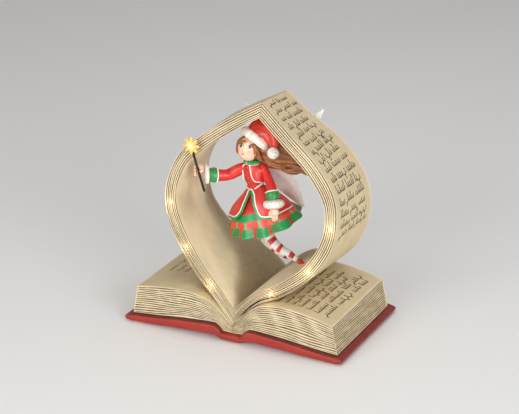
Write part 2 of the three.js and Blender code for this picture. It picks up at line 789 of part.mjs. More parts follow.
const CELL_HEIGHT = DOOR + GAP + CELL_RADIUS; // middle of the cells
const HINGE_X = CELL_BAY_X - CELL_BAY / 2 + GAP + DOOR_BARREL;
const HINGE_Z = DOOR_BARREL;
const SLOT_LENGTH = KNOB_LENGTH + 2 * KNOB_TRAVEL + 2 * RUNNING;
const SLOT_WIDTH = KNOB_WIDTH + 2 * RUNNING;
const BOARD_BASE = BOX_WALL + GAP + SWITCH_HEIGHT + GAP;
const NOTCH_Z = -THUMB_NOTCH * notchDepthShare;
const BARREL_SIDES = 12;

/** The wall of the bays: open below the cells, slotted below the switch. */
function makeBatteryBox(leadHoles) {
  const half = [BOX_WIDTH / 2, BOX_LENGTH / 2];
  const shell = block([-half[0], -half[1], 0], [half[0], half[1], BOX_HEIGHT]);
  const roof = BOX_HEIGHT - BOX_WALL;
  const bay = (x, width, base) =>
    block([x - width / 2, -BAY_LENGTH / 2, base], [x + width / 2, BAY_LENGTH / 2, roof]);
  const slot = block(
    [CIRCUIT_BAY_X - SLOT_WIDTH / 2, -SLOT_LENGTH / 2, -OVERRUN],
    [CIRCUIT_BAY_X + SLOT_WIDTH / 2, SLOT_LENGTH / 2, BOX_WALL + OVERRUN]
  );
  const pins = barAlongY(
    DOOR_PIN + RUNNING,
    BAY_LENGTH + 2 * (DOOR_PIN_LENGTH + RUNNING),
    [HINGE_X, 0, HINGE_Z],
    10
  );
  const notch = barAlongY(
    THUMB_NOTCH, 2 * THUMB_NOTCH, [CELL_BAY_X + CELL_BAY / 2, 0, NOTCH_Z], BARREL_SIDES);
  return cut(
    shell,
    bay(CELL_BAY_X, CELL_BAY, -OVERRUN),
    bay(CIRCUIT_BAY_X, CIRCUIT_BAY, BOX_WALL),
    slot,
    pins,
    notch,
    ...leadHoles
  );
}

/** The lid under the cells: a plate with a barrel and two pins along one edge. */
function makeBatteryDoor() {
  const length = BAY_LENGTH - 2 * RUNNING;
  const far = CELL_BAY_X + CELL_BAY / 2 - RUNNING;
  const plate = block([HINGE_X, -length / 2, 0], [far, length / 2, DOOR]);
  const barrel = barAlongY(DOOR_BARREL, length, [HINGE_X, 0, HINGE_Z], BARREL_SIDES);
  const pins = barAlongY(DOOR_PIN, BAY_LENGTH + 2 * DOOR_PIN_LENGTH, [HINGE_X, 0, HINGE_Z], 10);
  const notch = barAlongY(THUMB_NOTCH, 2 * THUMB_NOTCH, [far, 0, NOTCH_Z], BARREL_SIDES);
  return cut(plate.add(barrel).add(pins), notch);
}

/** A round cell along +Y with its button end forward, from its middle. */
function cellGeometry() {
  const body = CELL_LENGTH - CELL_NUB;
  const profile = [
    [0, 0],
    [CELL_RADIUS, 0],
    [CELL_RADIUS, body],
    [CELL_NUB_RADIUS, body],
    [CELL_NUB_RADIUS, CELL_LENGTH],
    [0, CELL_LENGTH],
  ];
  const geometry = new THREE.LatheGeometry(profile.map(([r, y]) => new THREE.Vector2(r, y)), 16);
  return geometry.translate(0, -CELL_LENGTH / 2, 0);
}

const cellX = (index) =>
  CELL_BAY_X + (index - (CELL_COUNT - 1) / 2) * (2 * CELL_RADIUS + CELL_SPACE);

/** A contact strip across one end of the bay: a spring for each flat end, a stud for each nub. */
function makeContactStrip(end) {
  const outer = BAY_LENGTH / 2 - GAP;
  const inner = outer - CONTACT_PLATE;
  const halfWidth = CELL_BAY / 2 - GAP;
  const height = 2 * CELL_RADIUS - GAP;
  const base = CELL_HEIGHT - CELL_RADIUS + GAP;
  let strip = block(
    [CELL_BAY_X - halfWidth, inner, base],
    [CELL_BAY_X + halfWidth, outer, base + height]
  );
  for (let i = 0; i < CELL_COUNT; i++) {
    const spring = (i % 2 === 0) === end > 0;
    const turns = springShares.map((share, k) => [
      SPRING_RADIUS * share, (CONTACT_REACH * k) / (springShares.length - 1)]);
    const stud = [[CELL_NUB_RADIUS, 0], [CELL_NUB_RADIUS, CONTACT_REACH]];
    const profile = [[0, -CONTACT_PLATE / 2], ...(spring ? turns : stud), [0, CONTACT_REACH]];
    profile.splice(1, 0, [profile[1][0], -CONTACT_PLATE / 2]);
    const geometry = new THREE.LatheGeometry(profile.map(([r, y]) => new THREE.Vector2(r, y)), 10);
    geometry.rotateZ(Math.PI);
    geometry.translate(cellX(i), inner, CELL_HEIGHT);
    strip = strip.add(solidOf(geometry));
  }
  const turned = geometryOf(strip);
  if (end < 0) turned.scale(1, -1, 1);
  return solidOf(turned);
}

/** The timer's board with its chip. */
function makeTimerBoard() {
  const half = CIRCUIT_BAY / 2 - GAP;
  const board = block(
    [CIRCUIT_BAY_X - half, -BOARD_LENGTH / 2, BOARD_BASE],
    [CIRCUIT_BAY_X + half, BOARD_LENGTH / 2, BOARD_BASE + BOARD]
  );
  const chip = block(
    [CIRCUIT_BAY_X - CHIP_SIDE / 2, 0, BOARD_BASE],
    [CIRCUIT_BAY_X + CHIP_SIDE / 2, CHIP_SIDE, BOARD_BASE + BOARD + CHIP]
  );
  return board.add(chip);
}

/** The slide switch, open below where its knob runs. */
function makeSwitchBody() {
  const base = BOX_WALL + GAP;
  const body = block(
    [CIRCUIT_BAY_X - SWITCH_WIDTH / 2, -SWITCH_LENGTH / 2, base],
    [CIRCUIT_BAY_X + SWITCH_WIDTH / 2, SWITCH_LENGTH / 2, base + SWITCH_HEIGHT]
  );
  const track = block(
    [CIRCUIT_BAY_X - SLOT_WIDTH / 2, -SLOT_LENGTH / 2, base - OVERRUN],
    [CIRCUIT_BAY_X + SLOT_WIDTH / 2, SLOT_LENGTH / 2, base + KNOB_SHANK + RUNNING]
  );
  return cut(body, track);
}

/** The knob that is pushed along the slot, ribbed across its tip. */
function makeSwitchKnob() {
  const top = BOX_WALL + GAP + KNOB_SHANK;
  const knob = block(
    [CIRCUIT_BAY_X - KNOB_WIDTH / 2, -KNOB_LENGTH / 2, -KNOB_PROUD],
    [CIRCUIT_BAY_X + KNOB_WIDTH / 2, KNOB_LENGTH / 2, top]
  );
  const rib = KNOB_LENGTH / 7;
  const grooves = [-1, 1].map((side) =>
    block(
      [CIRCUIT_BAY_X - KNOB_WIDTH, side * 1.5 * rib - rib / 2, -KNOB_PROUD - OVERRUN],
      [CIRCUIT_BAY_X + KNOB_WIDTH, side * 1.5 * rib + rib / 2, -KNOB_PROUD + rib]
    )
  );
  return cut(knob, ...grooves);
}

// Doll

/** A place on the doll from its shares. */
const onDoll = ([x, y, z]) => new THREE.Vector3(x, y, z).multiplyScalar(DOLL).add(WAIST);

/** A body of level rings, each tipped by its rises. A wave runs round the lower ones. */
function ringBody(table, sides, grow = 0, wave = () => 0) {
  const rings = table.map((row, i) => {
    const centre = onDoll(row);
    const [halfWidth, halfDepth] = [row[3] * DOLL + grow, row[4] * DOLL + grow];
    return Array.from({ length: sides }, (_, j) => {
      const turn = (2 * Math.PI * j) / sides;
      const out = 1 + wave(i, turn) / halfWidth;
      const dx = halfWidth * out * Math.cos(turn);
      const dy = halfDepth * out * Math.sin(turn);
      const end = i === 0 ? -1 : i === table.length - 1 ? 1 : 0;
      const rise = Math.sign(table[table.length - 1][2] - table[0][2]) * end * grow;
      return new THREE.Vector3(
        centre.x + dx, centre.y + dy, centre.z + row[5] * dx + row[6] * dy + rise);
    });
  });
  return ringLoft(rings);
}

/** A limb of round rings along a curve through the table's places. */
function limb(table, sides, grow = 0, flat = 1, stepsPerSpan = 2) {
  const curve = new THREE.CatmullRomCurve3(table.map(onDoll), false, "centripetal");
  const count = (table.length - 1) * stepsPerSpan;
  const rings = [];
  for (let i = 0; i <= count; i++) {
    const share = i / count;
    const row = Math.min(table.length - 2, Math.floor(share * (table.length - 1)));
    const along = share * (table.length - 1) - row;
    const radius = THREE.MathUtils.lerp(table[row][3], table[row + 1][3], along) * DOLL + grow;
    const tangent = curve.getTangent(share);
    const side = new THREE.Vector3(0, 1, 0).addScaledVector(tangent, -tangent.y).normalize();
    const up = new THREE.Vector3().crossVectors(tangent, side);
    const centre = curve.getPoint(share);
    const end = i === 0 ? -1 : i === count ? 1 : 0;
    centre.addScaledVector(tangent, end * grow);
    rings.push(
      Array.from({ length: sides }, (_, j) => {
        const turn = (2 * Math.PI * (j + 0.5)) / sides;
        return centre
          .clone()
          .addScaledVector(side, radius * flat * Math.cos(turn))
          .addScaledVector(up, radius * Math.sin(turn));
      })
    );
  }
  return ringLoft(rings);
}

/** The ruffle's folds, deepest at the hem. */
const ruffle = (ring, turn) =>
  HEM_WAVE * Math.sin(HEM_FOLDS * turn) * ruffleShares[ring];

/** The opening down the front of the overskirt, narrow at the waist and round at the hem. */
function skirtOpening() {
  const outline = openingShares.map(([x, z]) => onDoll([x, 0, z]));
  const shape = new THREE.Shape(outline.map(({ x, z }) => new THREE.Vector2(x, z)));
  const [start, depth] = openingDepthShares.map((share) => share * DOLL);
  const geometry = new THREE.ExtrudeGeometry(shape, { depth, bevelEnabled: false });
  geometry.rotateX(Math.PI / 2);
  geometry.translate(0, WAIST.y + start, 0);
  return solidOf(geometry);
}

/** A place on a wing: across and up from the waist, and between her back and the tips' plane. */
function onWing([x, way, z]) {
  const point = onDoll([x, wingRootShare, z]);
  point.y = THREE.MathUtils.lerp(point.y, PAGE_BACK + WING_BEHIND, way);
  return point;
}

/** A thin lobe of a wing between its two edge lines. */
function wingLobe(table) {
  const half = new THREE.Vector3(0, WING_THICKNESS / 2, 0);
  const edges = [0, 1].map(
    (edge) => new THREE.CatmullRomCurve3(table.map((row) => onWing(row[edge])), false, "centripetal")
  );
  const count = (table.length - 1) * 3;
  return sheetStack(
    Array.from({ length: count + 1 }, (_, i) =>
      edges.map((edge) => {
        const point = edge.getPoint(i / count);
        return [point.clone().sub(half), point.clone().add(half)];
      })
    )
  );
}

/** The star at the tip of the wand, facing forward. */
function makeStar() {
  const shape = new THREE.Shape();
  for (let i = 0; i < 2 * STAR_POINTS; i++) {
    const radius = (i % 2 ? STAR_INNER : STAR_RADIUS) - WAND_RADIUS / 2;
    const turn = (Math.PI * i) / STAR_POINTS + Math.PI / 2;
    const at = [radius * Math.cos(turn), radius * Math.sin(turn)];
    if (i === 0) shape.moveTo(...at);
    else shape.lineTo(...at);
  }
  shape.closePath();
  const bevel = WAND_RADIUS / 2;
  const geometry = new THREE.ExtrudeGeometry(shape, {
    depth: STAR_THICKNESS - 2 * bevel,
    bevelThickness: bevel,
    bevelSize: bevel,
    bevelSegments: 1,
  });
  geometry.translate(0, 0, -(STAR_THICKNESS / 2 - bevel));
  geometry.rotateX(Math.PI / 2);
  const [grip, top] = wandShares.map(onDoll);
  const centre = top.clone().addScaledVector(top.clone().sub(grip).normalize(), STAR_INNER);
  geometry.translate(centre.x, centre.y, centre.z);
  return solidOf(geometry);
}

/** The wand, a thin straight rod. */
function makeWand(grow = 0) {
  return limb(wandShares.map((place) => [...place, 0]), 8, WAND_RADIUS + grow, 1, 1);
}

/** The rolled fur brim of the hat. */
function makeBrim() {
  const [x, y, z, halfWidth, halfDepth, roll] = brimShares;
  const geometry = new THREE.TorusGeometry(1, roll / halfWidth, 8, 16);
  geometry.scale(halfWidth * DOLL, halfDepth * DOLL, halfWidth * DOLL);
  const axis = new THREE.Vector3(...hatAxisShares).normalize();
  geometry.applyQuaternion(
    new THREE.Quaternion().setFromUnitVectors(new THREE.Vector3(0, 0, 1), axis)
  );
  const centre = onDoll([x, y, z]);
  geometry.translate(centre.x, centre.y, centre.z);
  return solidOf(geometry);
}

/** The hair close to the head and the tail of it that flies out behind. */
function makeHair(grow = 0) {
  const [x, y, z, ...radii] = hairCapShares;
  const cap = ball(onDoll([x, y, z]), radii.map((share) => share * DOLL + grow), 12);
  return cap.add(limb(hairTailShares, 10, grow, tailFlatShare, 1));
}

// Scene graph

const finish = {
  cover: ["#9c3a30", 0.75, 0],
  pages: ["#cdbf98", 0.8, 0],
  leaf: ["#d8cba6", 0.8, 0],
  lamp: ["#fff3d0", 0.2, 0],
  lead: ["#b9b29a", 0.6, 0],
  box: ["#2a2a2a", 0.6, 0],
  cell: ["#4a6f9c", 0.4, 0.2],
  contact: ["#c9c9c4", 0.3, 0.9],
  board: ["#2c6a3c", 0.6, 0],
  rubber: ["#262626", 0.9, 0],
  red: ["#d12b22", 0.45, 0],
  green: ["#1f8a4c", 0.45, 0],
  fur: ["#eceae4", 0.9, 0],
  skin: ["#f2c9a5", 0.5, 0],
  hair: ["#7c4020", 0.5, 0],
  stocking: ["#f0ebe6", 0.5, 0],
  wing: ["#d9d4d6", 0.3, 0],
  wand: ["#191714", 0.5, 0],
  star: ["#f6c64a", 0.3, 0.1],
};

/** A named mesh with a material of its own. */
function piece(name, shape, kind) {
  const [color, roughness, metalness] = finish[kind];
  const geometry = shape.isBufferGeometry ? shape : geometryOf(shape);
  const mesh = new THREE.Mesh(
    geometry,
    new THREE.MeshStandardMaterial({ color, roughness, metalness })
  );
  mesh.name = name;
  return mesh;
}

const sides = [
  { name: "left", side: -1, front: leftFrontShares, back: leftBackShares, lamps: leftLampShares },
  { name: "right", side: 1, front: rightFrontShares, back: rightBackShares, lamps: rightLampShares },
].map((entry) => ({
  ...entry,
  front: bandCurve(entry.front, entry.side),
  back: bandCurve(entry.back, entry.side),
}));

const bandRooms = sides.map(({ side, front, back }) => roomForBand(side, front, back));

const boxPocket = block(
  [BOX_X - BOX_WIDTH / 2 - GAP, -BOX_LENGTH / 2 - GAP, -OVERRUN],
  [BOX_X + BOX_WIDTH / 2 + GAP, BOX_LENGTH / 2 + GAP, BOX_BASE + BOX_HEIGHT + GAP]
);

const routes = sides.map(({ side, front, lamps }, i) => {
  const places = lampPlaces(front, side, lamps);
  const entry = new THREE.Vector3(
    BOX_X - BOX_WIDTH / 2 + BOX_WALL / 2,
    BAY_LENGTH * leadEntryShares[i],
    BOX_BASE + BOX_HEIGHT - BOX_WALL - 2 * LEAD_RADIUS
  );
  return { places, route: leadRoute(front, side, places[0].share, entry) };
});
const leadBores = routes.map(({ route }) => barAlong(route, LEAD_RADIUS + GAP));
const leads = routes.map(({ route }) => barAlong(route, LEAD_RADIUS));

/** Cover, page blocks, bands and loose sheets. */
function makeBook() {
  const book = new THREE.Group();
  book.add(piece("cover", cut(makeCover(), boxPocket), "cover"));
  const tables = [leftSheetShares, rightSheetShares];
  sides.forEach(({ name, side, front, back }, i) => {
    const stack = makePageBlock(side, tables[i]);
    const pages = cut(stack, makeCover(GAP), bandRooms[i], boxPocket, ...leadBores);
    book.add(piece(`${name}_page_block`, pages, "pages"));
    const bores = routes[i].places.map(({ point }) => lampBore(point));
    const band = cut(bandOf(side, front, back), leadBores[i], ...bores);
    book.add(piece(`${name}_page_band`, band, "pages"));
    const leaf = cut(looseLeaf(side, front, back), leadBores[i]);
    book.add(piece(`${name}_loose_leaf`, leaf, "leaf"));
  });
  return book;
}

/** Six lamps in the page edges, and the two leads that join them to the box. */
function makeLights() {
  const lights = new THREE.Group();
  const geometry = lampGeometry();
  const places = routes.flatMap(({ places: own }) => own);
  places.forEach(({ point }, i) => {
    const lamp = piece(`led_${i + 1}`, geometry, "lamp");
    lamp.position.copy(point).addScaledVector(FRONT_NORMAL, -LAMP_DEPTH);
    lamp.quaternion.setFromUnitVectors(new THREE.Vector3(0, 0, 1), FRONT_NORMAL);
    lights.add(lamp);
  });
  const bore = routes.map(({ places: own }) => own.map(({ point }) => lampBore(point)));
  leads.forEach((lead, i) => {
    lights.add(piece(`${sides[i].name}_led_lead`, cut(lead, ...bore[i]), "lead"));
  });
  return lights;
}

/** The box under the right-hand pages and all that it holds. */
function makePower() {
  const power = new THREE.Group();
  power.position.set(BOX_X, 0, BOX_BASE);
  const holes = leadBores.map((bore) => {
    const local = geometryOf(bore);
    local.translate(-BOX_X, 0, -BOX_BASE);
    return solidOf(local);
  });
  power.add(piece("battery_box", makeBatteryBox(holes), "box"));
  power.add(piece("battery_door", makeBatteryDoor(), "box"));
  const geometry = cellGeometry();
  for (let i = 0; i < CELL_COUNT; i++) {
    const cell = piece(`cell_${i + 1}`, geometry, "cell");
    cell.position.set(cellX(i), 0, CELL_HEIGHT);
    if (i % 2 === 0) cell.rotation.z = Math.PI;
    power.add(cell);
  }
  power.add(piece("rear_contact_strip", makeContactStrip(1), "contact"));
  power.add(piece("front_contact_strip", makeContactStrip(-1), "contact"));
  power.add(piece("timer_board", makeTimerBoard(), "board"));
  power.add(piece("switch_body", makeSwitchBody(), "box"));
  power.add(piece("switch_knob", makeSwitchKnob(), "cell"));
  return power;
}

/** Soft pads at the four corners. */
function makeFeet() {
  const feet = new THREE.Group();
  const x = COVER_HALF - FOOT_INSET;
  const y = COVER_DEPTH / 2 - FOOT_INSET;
  const height = coverUnderside(x + FOOT_RADIUS) - GAP;
  const geometry = new THREE.CylinderGeometry(FOOT_RADIUS, FOOT_RADIUS, height, 16);
  geometry.rotateX(Math.PI / 2);
  [[-x, -y], [x, -y], [-x, y], [x, y]].forEach(([px, py], i) => {
    const foot = piece(`foot_${i + 1}`, geometry, "rubber");
    foot.position.set(px, py, height / 2);
    feet.add(foot);
  });
  return feet;
}

/** The doll, piece by piece, each cut clear of those that it lies against. */
function makeDoll() {
  const doll = new THREE.Group();
  const add = (name, shape, kind) => doll.add(piece(name, shape, kind));
  const head = (grow) => ringBody(headShares, 12, grow);
  const collar = (grow) => ringBody(collarShares, 12, grow);
  const jacket = (grow) => ringBody(jacketShares, 12, grow);
  const skirt = (grow) => ringBody(overskirtShares, 24, grow);
  const petticoat = (grow) => ringBody(underskirtShares, 24, grow, ruffle);
  const hat = (grow) => limb(hatShares, 10, grow);
  const wandSleeve = (grow) => limb(wandSleeveShares, 8, grow);
  const wandCuff = (grow) => limb(wandCuffShares, 10, grow, 1, 1);
  const wandFur = (grow) => limb(wandFurShares, 10, grow, 1, 1);
  const lowSleeve = (grow) => limb(lowSleeveShares, 8, grow);
  const lowCuff = (grow) => limb(lowCuffShares, 10, grow, 1, 1);
  const lowFur = (grow) => limb(lowFurShares, 10, grow, 1, 1);
  const frontLeg = (grow) => limb(frontLegShares, 8, grow);
  const backLeg = (grow) => limb(backLegShares, 8, grow);
  const pompom = (grow) => {
    const radius = POMPOM_RADIUS + grow;
    return ball(onDoll(pompomShares), [radius, radius, radius], 10);
  };
  add("head", head(0), "skin");
  add("collar", cut(collar(0), head(GAP)), "green");
  add("jacket", cut(jacket(0), collar(GAP), head(GAP)), "red");
  add("overskirt", cut(skirt(0), jacket(GAP), petticoat(GAP), skirtOpening()), "red");
  add("underskirt", cut(petticoat(0), jacket(GAP), ...bandRooms), "green");
  const wornOverHair = [head(GAP), collar(GAP), jacket(GAP), hat(0), hat(GAP), pompom(GAP), lowSleeve(GAP)];
  add("hair", cut(makeHair(), ...wornOverHair, ...bandRooms), "hair");
  add("hat", cut(hat(0), head(GAP), pompom(GAP), ...bandRooms), "red");
  add("hat_brim", cut(makeBrim(), head(GAP), hat(GAP), makeHair(GAP)), "fur");
  add("pompom", pompom(0), "fur");
  add("wand_sleeve", cut(wandSleeve(0), jacket(GAP), collar(GAP)), "red");
  add("wand_cuff", cut(wandCuff(0), wandSleeve(GAP)), "green");
  add("wand_fur_cuff", cut(wandFur(0), wandCuff(GAP), makeWand(GAP), ...bandRooms), "fur");
  add("wand_hand", cut(limb(wandHandShares, 8), wandFur(GAP), makeWand(GAP), ...bandRooms), "skin");
  add("wand", makeWand(), "wand");
  add("wand_star", cut(makeStar(), makeWand(GAP)), "star");
  add("low_sleeve", cut(lowSleeve(0), jacket(GAP), collar(GAP), skirt(GAP)), "red");
  add("low_cuff", cut(lowCuff(0), lowSleeve(GAP), skirt(GAP)), "green");
  add("low_fur_cuff", cut(lowFur(0), lowCuff(GAP), skirt(GAP)), "fur");
  add("low_hand", cut(limb(lowHandShares, 8), lowFur(GAP), skirt(GAP), petticoat(GAP)), "skin");
  add("front_leg", cut(frontLeg(0), petticoat(GAP), ...bandRooms), "stocking");
  add("front_shoe", cut(limb(frontShoeShares, 8, 0, 1, 1), frontLeg(GAP), ...bandRooms), "red");
  add("back_leg", cut(backLeg(0), petticoat(GAP), frontLeg(GAP), ...bandRooms), "stocking");
  const nearBackShoe = [backLeg(GAP), frontLeg(GAP), ...bandRooms];
  add("back_shoe", cut(limb(backShoeShares, 8, 0, 1, 1), ...nearBackShoe), "red");
  const wings = [
    ["right_wing", rightUpperWingShares, rightLowerWingShares],
    ["left_wing", leftUpperWingShares, leftLowerWingShares],
  ];
  for (const [name, upper, lower] of wings) {
    const lobes = wingLobe(upper).add(wingLobe(lower));
    add(name, cut(lobes, jacket(GAP), skirt(GAP), petticoat(GAP), makeHair(GAP), ...bandRooms), "wing");
  }
  return doll;
}

const model = new THREE.Group();
model.add(makeBook(), makeLights(), makePower(), makeFeet(), makeDoll());

export default model;
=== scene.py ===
"""A lit table decoration: an open book whose middle pages curl up into a loop, and a winged doll
in winter dress that flies through it. Six small lamps sit among the page edges.

Shapes are worked out in millimetres as whole numpy arrays and turned to metres when a mesh is
made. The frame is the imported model's: +X to the right, +Y away from the reader, +Z up.
"""

import json
import logging
from dataclasses import dataclass, field
from enum import Enum
from typing import Any, Callable, Optional, Sequence

import bmesh
import bpy
import numpy as np
from mathutils import Matrix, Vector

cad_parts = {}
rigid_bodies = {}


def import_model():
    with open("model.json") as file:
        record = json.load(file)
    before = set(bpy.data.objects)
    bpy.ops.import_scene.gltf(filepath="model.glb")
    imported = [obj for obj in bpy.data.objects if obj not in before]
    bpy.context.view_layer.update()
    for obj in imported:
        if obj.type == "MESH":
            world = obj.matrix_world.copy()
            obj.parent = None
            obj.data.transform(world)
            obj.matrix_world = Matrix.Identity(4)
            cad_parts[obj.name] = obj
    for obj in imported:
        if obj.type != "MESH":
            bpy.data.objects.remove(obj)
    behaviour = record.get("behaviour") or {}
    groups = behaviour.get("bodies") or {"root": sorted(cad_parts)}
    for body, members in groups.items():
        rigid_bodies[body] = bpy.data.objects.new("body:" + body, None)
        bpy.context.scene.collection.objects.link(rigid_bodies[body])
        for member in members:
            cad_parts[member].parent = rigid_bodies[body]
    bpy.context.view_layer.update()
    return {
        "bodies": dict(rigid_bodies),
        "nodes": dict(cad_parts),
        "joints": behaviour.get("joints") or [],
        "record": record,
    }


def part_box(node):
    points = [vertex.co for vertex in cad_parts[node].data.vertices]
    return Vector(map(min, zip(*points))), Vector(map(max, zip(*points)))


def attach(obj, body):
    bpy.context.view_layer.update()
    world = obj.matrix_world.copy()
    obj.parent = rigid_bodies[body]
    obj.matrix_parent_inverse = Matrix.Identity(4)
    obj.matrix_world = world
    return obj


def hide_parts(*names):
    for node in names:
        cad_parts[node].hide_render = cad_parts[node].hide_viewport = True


LOG = logging.getLogger("ornament")
Array = np.ndarray
Relief = Callable[[Array, Array], Array]
Tone = Callable[[Array, Array, Array], dict]
MM = 0.001
ORNAMENT = "ornament"


class Hue(Enum):
    """The paints of the ornament, as sRGB values."""

    CREAM = (0.80, 0.73, 0.585)
    PALE = (0.95, 0.89, 0.75)
    TAN = (0.79, 0.70, 0.54)
    # Brown of the pages' wash, for their age and for painted shade on them.
    AGE = (0.36, 0.265, 0.165)
    INK = (0.13, 0.08, 0.045)
    BRICK = (0.63, 0.15, 0.105)
    BRICK_DARK = (0.22, 0.105, 0.07)
    RED = (0.83, 0.175, 0.15)
    RED_LIGHT = (0.89, 0.30, 0.25)
    RED_DARK = (0.45, 0.06, 0.05)
    GREEN = (0.05, 0.58, 0.29)
    GREEN_DARK = (0.03, 0.30, 0.15)
    GREEN_PALE = (0.38, 0.72, 0.48)
    WHITE = (0.965, 0.95, 0.935)
    FUR = (0.96, 0.94, 0.915)
    FUR_DARK = (0.68, 0.64, 0.60)
    SKIN = (0.955, 0.81, 0.70)
    BLUSH = (0.93, 0.55, 0.47)
    LIP = (0.82, 0.33, 0.30)
    IRIS = (0.26, 0.33, 0.30)
    LASH = (0.13, 0.085, 0.07)
    HAIR = (0.59, 0.36, 0.225)
    HAIR_DARK = (0.30, 0.15, 0.085)
    HAIR_LIGHT = (0.86, 0.56, 0.30)
    WING = (0.93, 0.90, 0.895)
    WING_SHADE = (0.66, 0.62, 0.59)
    BLACK = (0.075, 0.065, 0.06)
    GOLD = (0.94, 0.76, 0.33)
    GOLD_PALE = (1.0, 0.93, 0.68)

    @property
    def linear(self) -> Array:
        """The paint as linear red, green and blue."""
        value = np.array(self.value)
        return np.where(value <= 0.04045, value / 12.92, ((value + 0.055) / 1.055) ** 2.4)


def ease(value: Array, low: float, high: float) -> Array:
    """Smooth step from 0 at low to 1 at high: 3t^2 - 2t^3 of the clipped share t."""
    share = np.clip((np.asarray(value, float) - low) / (high - low), 0.0, 1.0)
    return share * share * (3.0 - 2.0 * share)


def bell(value: Array, middle: float, width: float) -> Array:
    """A bump of height 1 at middle: exp of minus the squared distance over width."""
    return np.exp(-(((np.asarray(value, float) - middle) / width) ** 2))


def wander(seed: int, *places: Array, octaves: int = 3) -> Array:
    """Smooth unevenness between about -1 and 1, the same on each run.

    Each octave sums three sines, each over its own direction with its own phase. An octave has
    twice the pitch and half the weight of the one before.

    Args:
        seed: picks the directions and phases.
        places: coordinates, which broadcast together, in waves of the first octave.
        octaves: number of octaves.

    Returns:
        The unevenness at each place.
    """
    dice = np.random.default_rng(seed)
    total = np.zeros(np.broadcast_shapes(*(np.shape(p) for p in places)))
    for octave in range(octaves):
        for _ in range(3):
            way = dice.normal(size=len(places))
            way /= np.linalg.norm(way)
            turn = sum(w * p for w, p in zip(way, places)) * 2**octave
            total = total + np.sin(2 * np.pi * (turn + dice.uniform())) / 2**octave
    return total / 2.6


def coat(under: "Hue | Array", over: "Hue | Array", cover: Array) -> Array:
    """One paint brushed over another: under times (1 - cover) plus over times cover."""
    under, over = (paint.linear if isinstance(paint, Hue) else paint for paint in (under, over))
    cover = np.asarray(cover, float)[..., None]
    return under * (1 - cover) + over * cover


def circle(count: int) -> Array:
    """Turns in radians, evenly round a full circle."""
    return np.linspace(0, 2 * np.pi, count, endpoint=False)


def axes(points: Array, size: float = 1.0) -> Array:
    """The x, y and z of points as three arrays, in units of the given size."""
    return np.moveaxis(points, -1, 0) / size


def both_ends(share: Array, width: float) -> Array:
    """1 in the middle of a share from 0 to 1, easing to 0 over a width at each of its ends."""
    return ease(share, 0, width) * ease(1 - share, 0, width)


def together(*shares: Array) -> Sequence[Array]:
    """Numbers or arrays as arrays of one shape."""
    return np.broadcast_arrays(*(np.asarray(share, float) for share in shares))


def unit(vectors: Array) -> Array:
    """Vectors at length 1."""
    return vectors / np.maximum(np.linalg.norm(vectors, axis=-1, keepdims=True), 1e-9)


class Spline:
    """A centripetal Catmull-Rom curve through rows of numbers, read by share of its spans."""

    def __init__(self, rows: Sequence[Sequence[float]]) -> None:
        """Keep the rows, with one more mirrored on beyond each end."""
        rows = np.asarray(rows, float)
        self.rows = np.vstack([2 * rows[0] - rows[1], rows, 2 * rows[-1] - rows[-2]])
        step = np.linalg.norm(np.diff(self.rows[:, :3], axis=0), axis=1)
        self.steps = np.sqrt(np.maximum(step, 1e-4))

    def at(self, share: Array) -> Array:
        """Rows at shares of the curve.

        Args:
            share: 0 at the first row and 1 at the last, any shape.

        Returns:
            The rows there, with one more axis than share.
        """
        share = np.clip(np.asarray(share, float), 0.0, 1.0)
        spans = len(self.rows) - 3
        first = np.minimum((share * spans).astype(int), spans - 1)
        t = (share * spans - first)[..., None]
        a, b, c, d = (self.rows[first + k] for k in range(4))
        ab, bc, cd = (self.steps[first + k][..., None] for k in range(3))
        leave = ((b - a) / ab - (c - a) / (ab + bc) + (c - b) / bc) * bc
        reach = ((c - b) / bc - (d - b) / (bc + cd) + (d - c) / cd) * bc
        square = -3 * b + 3 * c - 2 * leave - reach
        cube = 2 * b - 2 * c + leave + reach
        return b + leave * t + square * t**2 + cube * t**3

    def way(self, share: Array) -> Array:
        """Direction of the curve at shares of it, from its first three numbers."""
        ahead = self.at(np.asarray(share) + 1e-4)[..., :3]
        behind = self.at(np.asarray(share) - 1e-4)[..., :3]
        return unit(ahead - behind)


